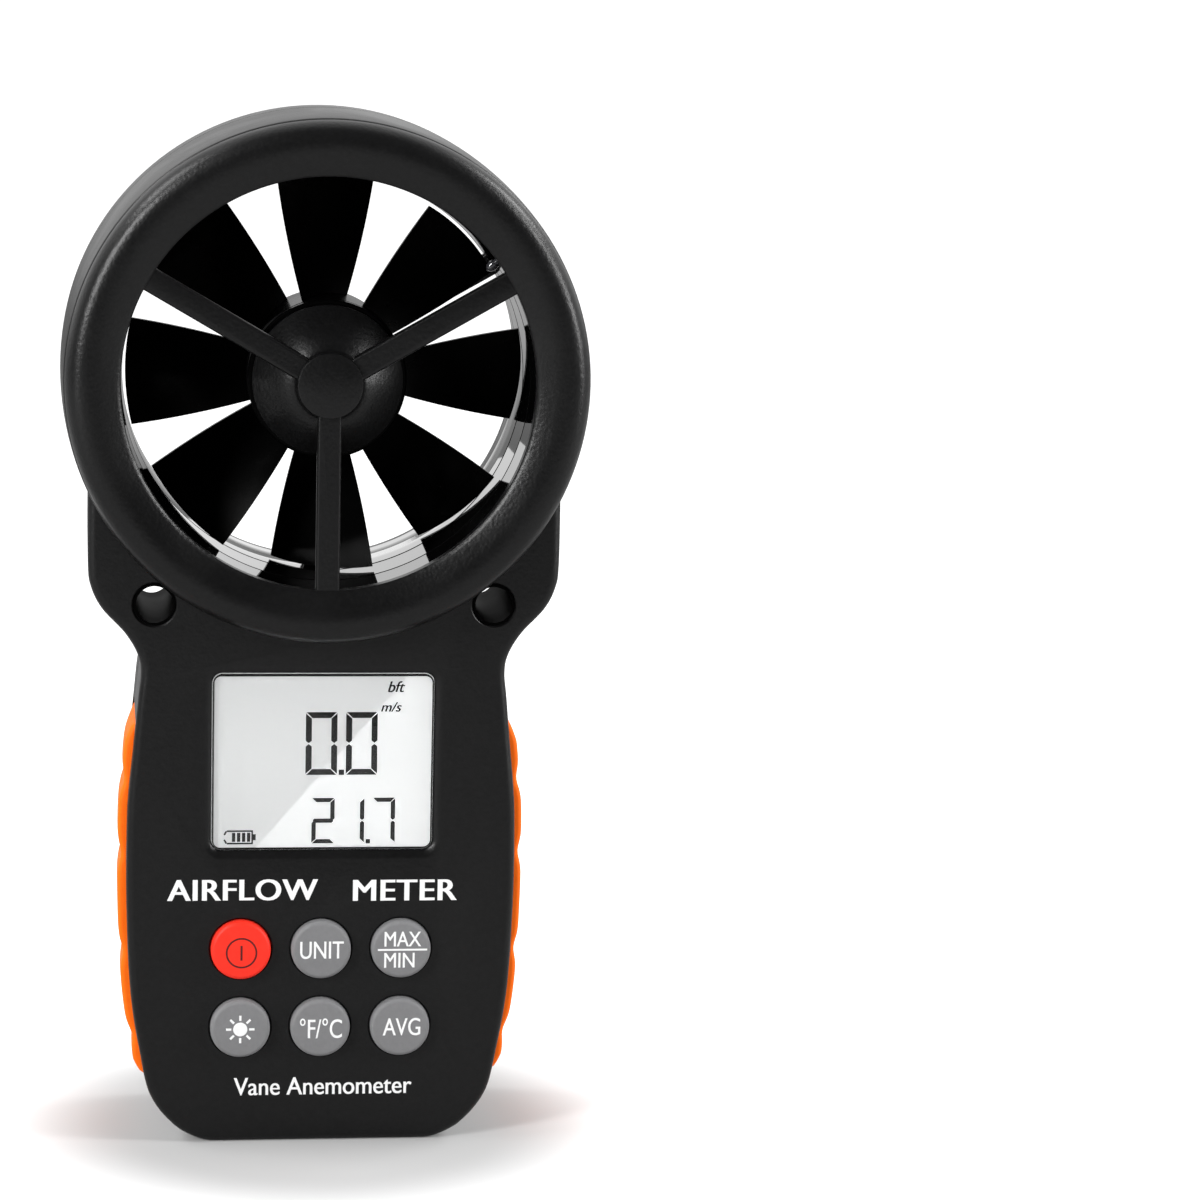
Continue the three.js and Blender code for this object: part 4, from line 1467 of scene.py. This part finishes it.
@dataclass
class Display:
    """The window, the panel behind it and everything that the panel shows."""

    half_width: float = 17.3
    bottom: float = 47.5
    top: float = 75.7
    corner: float = 1.6
    pane_front: float = -10.9
    pane_back: float = -9.7
    face: float = -9.6
    digits: tuple[Digit, ...] = (
        Digit("abcdef", (-2.67, 59.29), (2.25, 69.3), 0.94),
        Digit("abcdef", (3.62, 59.29), (8.54, 69.3), 0.94),
        Digit("abged", (-1.63, 48.31), (1.97, 55.6), 0.68),
        Digit("bc", (3.0, 48.31), (6.62, 55.6), 0.68),
        Digit("abc", (7.9, 48.31), (11.45, 55.6), 0.68),
    )

    def recess(self, face: float) -> Workpiece:
        """The cutter for the window's opening, with a sloped bezel.

        Args:
            face: The case's front.

        Returns:
            The cutter.
        """
        steps = ((1.5, -1.0), (1.5, 0.0), (1.2, 0.05), (0.9, 0.14), (0.55, 0.3), (0.3, 0.46), (0.15, 0.6),
                 (0.08, 0.8), (0.08, 4.0))
        return Workpiece.lofted([(self.frame(spread), face + depth) for spread, depth in steps])

    def frame(self, spread: float) -> list[Point]:
        """The window's outline, grown on every side."""
        return rounded_rectangle(-self.half_width - spread, self.half_width + spread, self.bottom - spread,
                                 self.top + spread, self.corner + spread)

    def pane(self) -> Workpiece:
        """The clear window, with softened edges."""
        body = Workpiece.plate(self.frame(0.0), self.pane_front, self.pane_back)
        return body.round_edges(body.rim(self.pane_front), 0.12, 2)

    def mask(self) -> Workpiece:
        """The black border printed behind the window."""
        body = Workpiece.plate(self.frame(0.0), self.pane_back + 0.01, self.pane_back + 0.05)
        inner = rounded_rectangle(-16.9, 17.0, 47.75, 75.0, 1.0)
        return body.cut(Workpiece.plate(inner, self.pane_back - 1, self.pane_back + 1))

    def marks(self) -> Workpiece:
        """Figures, units and battery sign."""
        y = self.face
        ink = Workpiece()
        for digit in self.digits:
            for shape in digit.bars():
                ink.add(printed(shape, y, 0.02))
        for x, z, size in ((2.95, 59.7, 0.86), (7.24, 48.6, 0.7)):
            ink.add(printed(bar(x, z, size, size, 0), y, 0.02))
        ink.add(Inscription("bft", (10.1, 72.45), (12.75, 74.2), 0.05, 0.3).solid(y, 0.02))
        ink.add(Inscription("m/s", (9.07, 69.35), (12.23, 70.9), 0.05, 0.3).solid(y, 0.02))
        for x, z, length, width, angle in (
            (-12.8, 50.36, 4.0, 0.26, 0), (-12.8, 48.38, 4.0, 0.26, 0), (-10.86, 49.37, 2.24, 0.26, 90),
            (-10.52, 49.37, 0.95, 0.42, 90), (-15.05, 50.05, 0.7, 0.26, 60), (-15.05, 48.69, 0.7, 0.26, -60),
        ):
            ink.add(printed(bar(x, z, length, width, angle), y, 0.02))
        for i in range(4):
            ink.add(printed(bar(-13.75 + 0.78 * i, 49.37, 1.45, 0.52, 90), y, 0.02))
        return ink

    def build(self, paints: Paints) -> None:
        """Makes the display's pieces.

        Args:
            paints: The materials.
        """
        finished(self.pane(), "window_pane", paints.pane, "housing", ("screen_window",))
        finished(self.mask(), "display_mask", paints.segment, "housing")
        glass = Workpiece.block((-19.5, self.face, 46.0), (19.5, -7.6, 77.2), 0.15)
        finished(glass, "display_glass", paints.display, "housing", ("lcd_panel",))
        finished(self.marks(), "display_figures", paints.segment, "housing")


@dataclass
class Keypad:
    """Six round keys in two rows, each with its printed sign."""

    radius: float = 4.7
    front: float = -12.9
    column: float = 12.61
    rows: tuple[float, float] = (31.64, 18.93)

    @property
    def spots(self) -> list[Point]:
        """The keys' centres, row by row from the upper left."""
        return [(column * self.column, z) for z in self.rows for column in (-1, 0, 1)]

    def cap(self, x: float, z: float) -> Workpiece:
        """One key: a flat cap with a rounded rim, on a flange that keeps it in the case."""
        rim, soft = self.radius, 0.75
        profile = [(0, self.front)]
        for i in range(8):
            angle = math.pi / 2 * i / 7
            profile.append((rim - soft + soft * math.sin(angle), self.front + soft * (1 - math.cos(angle))))
        profile += [(rim, -9.1), (5.7, -9.1), (5.7, -8.6), (0, -8.6)]
        return Workpiece.turned(profile, x, z, 72)

    def power_sign(self, x: float, z: float) -> Workpiece:
        """A ring with a short upright bar."""
        y = self.front
        ring = printed(disc(x + 0.1, z - 0.3, 2.46, 64), y)
        ring.cut(Workpiece.plate(disc(x + 0.1, z - 0.3, 2.2, 64), y - 1, y + 1))
        return ring.add(printed(bar(x + 0.1, z - 0.3, 2.4, 0.3, 90), y))

    def sun_sign(self, x: float, z: float) -> Workpiece:
        """A disc with eight rays."""
        sign = printed(disc(x, z, 1.12), self.front)
        for i in range(8):
            turn = math.radians(45 * i)
            ray = bar(x + 1.82 * math.cos(turn), z + 1.82 * math.sin(turn), 0.84, 0.36, 45 * i)
            sign.add(printed(ray, self.front))
        return sign

    def words(self, spot: Point, text: str, box: tuple[float, float, float, float]) -> Workpiece:
        """A short word on one key.

        Args:
            spot: The key's centre.
            text: The word.
            box: Left, right, bottom and top of the word about the centre.

        Returns:
            The letters.
        """
        low, high = (spot[0] + box[0], spot[1] + box[2]), (spot[0] + box[1], spot[1] + box[3])
        return Inscription(text, low, high, 0.03).solid(self.front)

    def build(self, paints: Paints) -> None:
        """Makes the caps and their signs.

        Args:
            paints: The materials.
        """
        power, unit, extremes, light, scale, average = self.spots
        limits = self.words(extremes, "MAX", (-2.65, 3.1, 0.55, 2.95))
        limits.add(self.words(extremes, "MIN", (-2.65, 2.1, -2.9, -0.5)))
        limits.add(printed(bar(extremes[0] + 0.2, extremes[1], 7.8, 0.3, 0), self.front))
        signs = {
            "power_key": (power, self.power_sign(*power)),
            "unit_key": (unit, self.words(unit, "UNIT", (-3.3, 3.5, -1.35, 1.45))),
            "max_min_key": (extremes, limits),
            "light_key": (light, self.sun_sign(*light)),
            "scale_key": (scale, self.words(scale, "°F/°C", (-3.2, 3.4, -1.6, 1.65))),
            "average_key": (average, self.words(average, "AVG", (-2.7, 3.2, -1.3, 1.55))),
        }
        for body, (spot, sign) in signs.items():
            red = body == "power_key"
            finished(self.cap(*spot), f"{body}_cap", paints.power if red else paints.key, body,
                     (body,))
            finished(sign, f"{body}_sign", paints.dark_ink if red else paints.ink, body)


# ---- Battery, door and tripod socket -------------------------------------------------------------
@dataclass
class Power:
    """The battery bay with its sliding door, the battery and the tripod socket above them."""

    outline: CaseOutline
    back: float = 16.0
    door_half: float = 15.5
    door_top: float = 56.0
    door_thick: float = 2.1
    tongue: float = 1.1
    tripod_z: float = 70.6
    bay_half: float = 13.8
    bay_outer: float = 17.6

    def bay(self, seam: float, inside: float) -> list[Workpiece]:
        """The walls, roof and floor round the battery.

        Args:
            seam: Where the rear case begins.
            inside: Just within the rear wall.

        Returns:
            Four blocks.
        """
        rail = self.back - self.door_thick - CLEARANCE
        near, far = self.bay_half, self.bay_outer
        walls = [Workpiece.block((low, seam, 2), (high, rail, self.door_top + 3))
                 for low, high in ((-far, -near), (near, far))]
        roof = Workpiece.block((-far, seam, self.door_top + 1), (far, inside, self.door_top + 3))
        floor = Workpiece.block((-far, seam, 1.0), (far, rail, 2.8))
        return [*walls, roof, floor]

    def door_blocks(self, gap: float) -> tuple[Workpiece, Workpiece]:
        """The door's plate and tongues, grown by a gap."""
        half, face = self.door_half + gap, self.back - self.door_thick
        plate = Workpiece.block((-half, face - gap, -1), (half, self.back + 1, self.door_top + gap))
        tongues = Workpiece.block((-half - self.tongue, face - gap, -1),
                                  (half + self.tongue, face + 1 + gap, self.door_top - 4 + gap))
        return plate, tongues

    def door_opening(self) -> list[Workpiece]:
        """Cutters for the door's place in the rear case."""
        wide = self.door_half + CLEARANCE + self.tongue
        return [*self.door_blocks(0.2), Workpiece.block((-wide, 13.3, -1), (wide, 30, 0.5))]

    def door(self) -> Workpiece:
        """The sliding door: side tongues, thumb ribs and an arrow that shows which way it opens."""
        plate, tongues = self.door_blocks(0.0)
        body = Workpiece.plate(self.outline.closed(), 0, self.back)
        body.round_edges(body.rim(self.back), 4.6, 7)
        body.combine(plate.join(tongues), Cut.SHARED)
        body.combine(Workpiece.block((-30, 0, 0.2), (30, 30, self.door_top)), Cut.SHARED)
        for i in range(6):
            z = 42.5 + 1.9 * i
            groove = Workpiece.block((-6.5, self.back - 0.5, z - 0.45), (6.5, self.back + 1, z + 0.45))
            flanks = [e for e in groove.bm.edges if all(v.co.y < self.back for v in e.verts)]
            body.cut(groove.round_edges(flanks, 0.2, 2))
        head = [(-3.2, 37.5), (0, 33.5), (3.2, 37.5)]
        stem = [(-1.1, 37.0), (1.1, 37.0), (1.1, 40.3), (-1.1, 40.3)]
        for shape in (head, stem):
            body.cut(Workpiece.plate(shape, self.back - 0.35, self.back + 1))
        return body

    def socket(self) -> Workpiece:
        """The brass insert: a grooved outside and a thread cut in its bore."""
        profile = [(3.2, 15.7), (3.2, 15.3)]
        for i in range(8):
            y = 15.1 - 0.8 * i
            profile += [(2.75, y), (2.75, y - 0.12), (3.2, y - 0.4), (3.2, y - 0.5)]
        profile += [(3.2, 8.6), (4.1, 8.6), (4.4, 8.9), (4.4, 11.4), (4.1, 11.7), (4.1, 12.3), (4.4, 12.6),
                    (4.4, 15.5), (4.2, 15.7)]
        return Workpiece.turned(profile, 0, self.tripod_z, 64)

    def battery(self) -> Workpiece:
        """A 9 V block battery with its two snap posts."""
        body = Workpiece.block((-13.25, -3.9, 3.6), (13.25, 13.6, 50.0))
        upright = [e for e in body.bm.edges if abs(e.verts[0].co.z - e.verts[1].co.z) > 1]
        body.round_edges(upright, 2.2, 6)
        body.round_edges([e for e in body.bm.edges if abs(e.verts[0].co.z - e.verts[1].co.z) < 1e-3], 0.5, 2)
        for x, radius in ((-6.35, 2.9), (6.35, 3.8)):
            profile = [(0, 0), (radius, 0), (radius, 1.5), (radius - 0.4, 2.1), (0, 2.1)]
            post = Workpiece.turned(profile, 0, 0, 32)
            body.join(post.turn(90, "X", NOWHERE).move((x, 4.85, 49.9)))
        return body

    def build(self, paints: Paints) -> None:
        """Makes the pieces.

        Args:
            paints: The materials.
        """
        finished(self.door(), "door_panel", paints.case, "door", ("battery_door",))
        finished(self.socket(), "tripod_socket", paints.brass, "housing", ("tripod_insert",))
        finished(self.battery(), "battery_block", paints.cell, "housing", ("battery",))


@dataclass
class Works:
    """The parts inside the case that keep the shape of the CAD frame."""

    def build(self, frame: dict, paints: Paints) -> None:
        """Dresses the frame's own parts.

        Args:
            paints: The materials.
        """
        finishes = {
            "front_bearing": paints.brass, "rear_bearing": paints.brass, "rotor_magnet": paints.steel,
            "rotor_shaft": paints.steel, "speed_sensor": paints.board, "backlight": paints.white,
            "lcd_bracket": paints.rubber, "main_board": paints.board, "keypad_mat": paints.rubber,
            "battery_snap": paints.rubber, "battery_pad": paints.rubber,
        }
        for name, material in finishes.items():
            mesh = frame["nodes"][name].data
            mesh.materials.clear()
            mesh.materials.append(material)
            log.info("%s: CAD part dressed in %s", name, material.name)


@dataclass
class Printing:
    """The words printed on the front of the case."""

    face: float = -11.4
    words: tuple[tuple[str, Inscription], ...] = (
        ("legend_upper_left", Inscription("AIRFLOW", (-24.03, 39.45), (-0.69, 42.87), 0.14, spacing=1.06)),
        ("legend_upper_right", Inscription("METER", (5.09, 39.27), (21.28, 42.65), 0.14, spacing=1.06)),
        ("legend_lower", Inscription("Vane Anemometer", (-13.46, 7.66), (14.67, 10.55), 0.05)),
    )

    def build(self, paints: Paints) -> None:
        """Prints the words."""
        for name, inscription in self.words:
            finished(inscription.solid(self.face), name, paints.ink, "housing")


# ---- Studio --------------------------------------------------------------------------------------
@dataclass
class Studio:
    """Camera, lamps, sky and floor."""

    station: Point3 = (-37.9809, -617.5072, 195.8137)
    yaw: float = 0.1329
    pitch: float = 0.1753
    roll: float = 0.0251
    lens: float = 118.858
    sky_turn: Point = (-0.25, 0.35)
    sky_light: Point = (0.06, 1.0)
    # The floor's camera-only glow is weak near the meter, which paints a shadow there, and strong beyond it.
    painted_shadow_reach: Point = (0.03, 0.06)
    floor_glow_with_painted_shadow: Point = (0.09, 0.9)

    def camera(self) -> None:
        """Sets up the camera."""
        ahead = Vector((math.sin(self.yaw) * math.cos(self.pitch), math.cos(self.yaw) * math.cos(self.pitch),
                        -math.sin(self.pitch)))
        level = Vector((math.cos(self.yaw), -math.sin(self.yaw), 0))
        up = level.cross(ahead)
        right = level * math.cos(self.roll) + up * math.sin(self.roll)
        top = up * math.cos(self.roll) - level * math.sin(self.roll)
        data = bpy.data.cameras.new("camera")
        data.sensor_width, data.lens = 36, self.lens
        data.clip_start, data.clip_end = 0.01, 100
        eye = bpy.data.objects.new("camera", data)
        eye.matrix_world = Matrix.Translation(Vector(self.station) * MM) @ Matrix(
            (right, top, -ahead)).transposed().to_4x4()
        bpy.context.scene.collection.objects.link(eye)
        bpy.context.scene.camera = eye

    def lamp(self, name: str, place: Point3, aim: Point3, size: Point, power: float) -> None:
        """Hangs a soft box.

        Args:
            name: The lamp's name.
            place: Its centre in metres.
            aim: The point that it faces.
            size: Width and height in metres.
            power: Watts.
        """
        data = bpy.data.lights.new(name, "AREA")
        data.shape = "RECTANGLE"
        data.size, data.size_y = size
        data.energy = power
        item = bpy.data.objects.new(name, data)
        item.location = Vector(place)
        item.rotation_euler = (Vector(aim) - Vector(place)).to_track_quat("-Z", "Y").to_euler()
        bpy.context.scene.collection.objects.link(item)

    def sky(self) -> None:
        """A white sky that is bright behind the meter and dim in front of it."""
        world = bpy.data.worlds.new("sky")
        world.use_nodes = True
        wire = Wiring(world.node_tree)
        shade = world.node_tree.nodes["Background"]
        shade.inputs["Color"].default_value = (1, 1, 1, 1)
        toward = wire.node("SeparateXYZ", Vector=wire.node("TexCoord").outputs["Generated"])
        spread = wire.ranged(toward.outputs["Y"], self.sky_turn, self.sky_light)
        seen = wire.node("LightPath").outputs["Is Camera Ray"]
        wire.feed(shade.inputs["Strength"], wire.sum("MAXIMUM", spread, seen))
        bpy.context.scene.world = world

    def floor(self) -> None:
        """A wide pale floor under the meter, with a painted shadow round its base."""
        bm = bmesh.new()
        bmesh.ops.create_grid(bm, x_segments=1, y_segments=1, size=30)
        mesh = bpy.data.meshes.new("floor")
        bm.to_mesh(mesh)
        bm.free()
        material, wire, shader = new_material("floor_paper")
        place = wire.place()
        fibre = wire.node("TexNoise", Vector=place, Scale=30.0, Detail=3.0)
        paper = wire.blend(fibre.outputs["Fac"], (0.4, 0.4, 0.4, 1), (0.41, 0.41, 0.41, 1))
        wire.feed(shader.inputs["Base Color"], paper)
        shader.inputs["Roughness"].default_value = 1.0
        shader.inputs["Specular IOR Level"].default_value = 0.0
        shader.inputs["Emission Color"].default_value = (1, 1, 1, 1)
        # Painted shadow: the glow that only the camera sees fades out near the meter, so the floor round the
        # base looks darker.
        away = wire.node("VectorMath", {"operation": "LENGTH"}, Vector=place).outputs["Value"]
        lift = wire.ranged(away, self.painted_shadow_reach, self.floor_glow_with_painted_shadow)
        seen = wire.node("LightPath").outputs["Is Camera Ray"]
        wire.feed(shader.inputs["Emission Strength"], wire.sum("MULTIPLY", seen, lift))
        mesh.materials.append(material)
        item = bpy.data.objects.new("floor", mesh)
        bpy.context.scene.collection.objects.link(item)

    def build(self) -> None:
        """Sets everything up."""
        bpy.context.scene.view_settings.view_transform = "Standard"
        self.floor()
        self.sky()
        self.lamp("left_box", (-0.75, -0.6, 0.5), (0, 0, 0.09), (0.2, 0.6), 11.0)
        self.lamp("right_box", (0.85, -0.25, 0.4), (0, 0, 0.1), (0.2, 0.6), 8.0)
        self.lamp("upper_left_box", (-0.75, 0.05, 0.95), (0, 0, 0.1), (0.5, 0.25), 6.0)
        self.lamp("upper_right_box", (0.8, 0.25, 0.75), (0, 0, 0.1), (0.4, 0.25), 4.5)
        self.camera()


def main() -> None:
    """Builds the meter round its frame and sets it up in the studio."""
    logging.basicConfig(level=logging.INFO, format="%(name)s: %(message)s")
    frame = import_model()
    paints = Paints()
    outline = CaseOutline()
    grips, keys, display, power = Grips(outline), Keypad(), Display(), Power(outline)
    case = Case(outline)
    case.build(paints, grips, keys, display, power)
    grips.build(paints)
    Duct().build(paints)
    Rotor().build(paints)
    display.build(paints)
    keys.build(paints)
    power.build(paints)
    Works().build(frame, paints)
    Printing().build(paints)
    Studio().build()


if __name__ == "__main__":
    main()
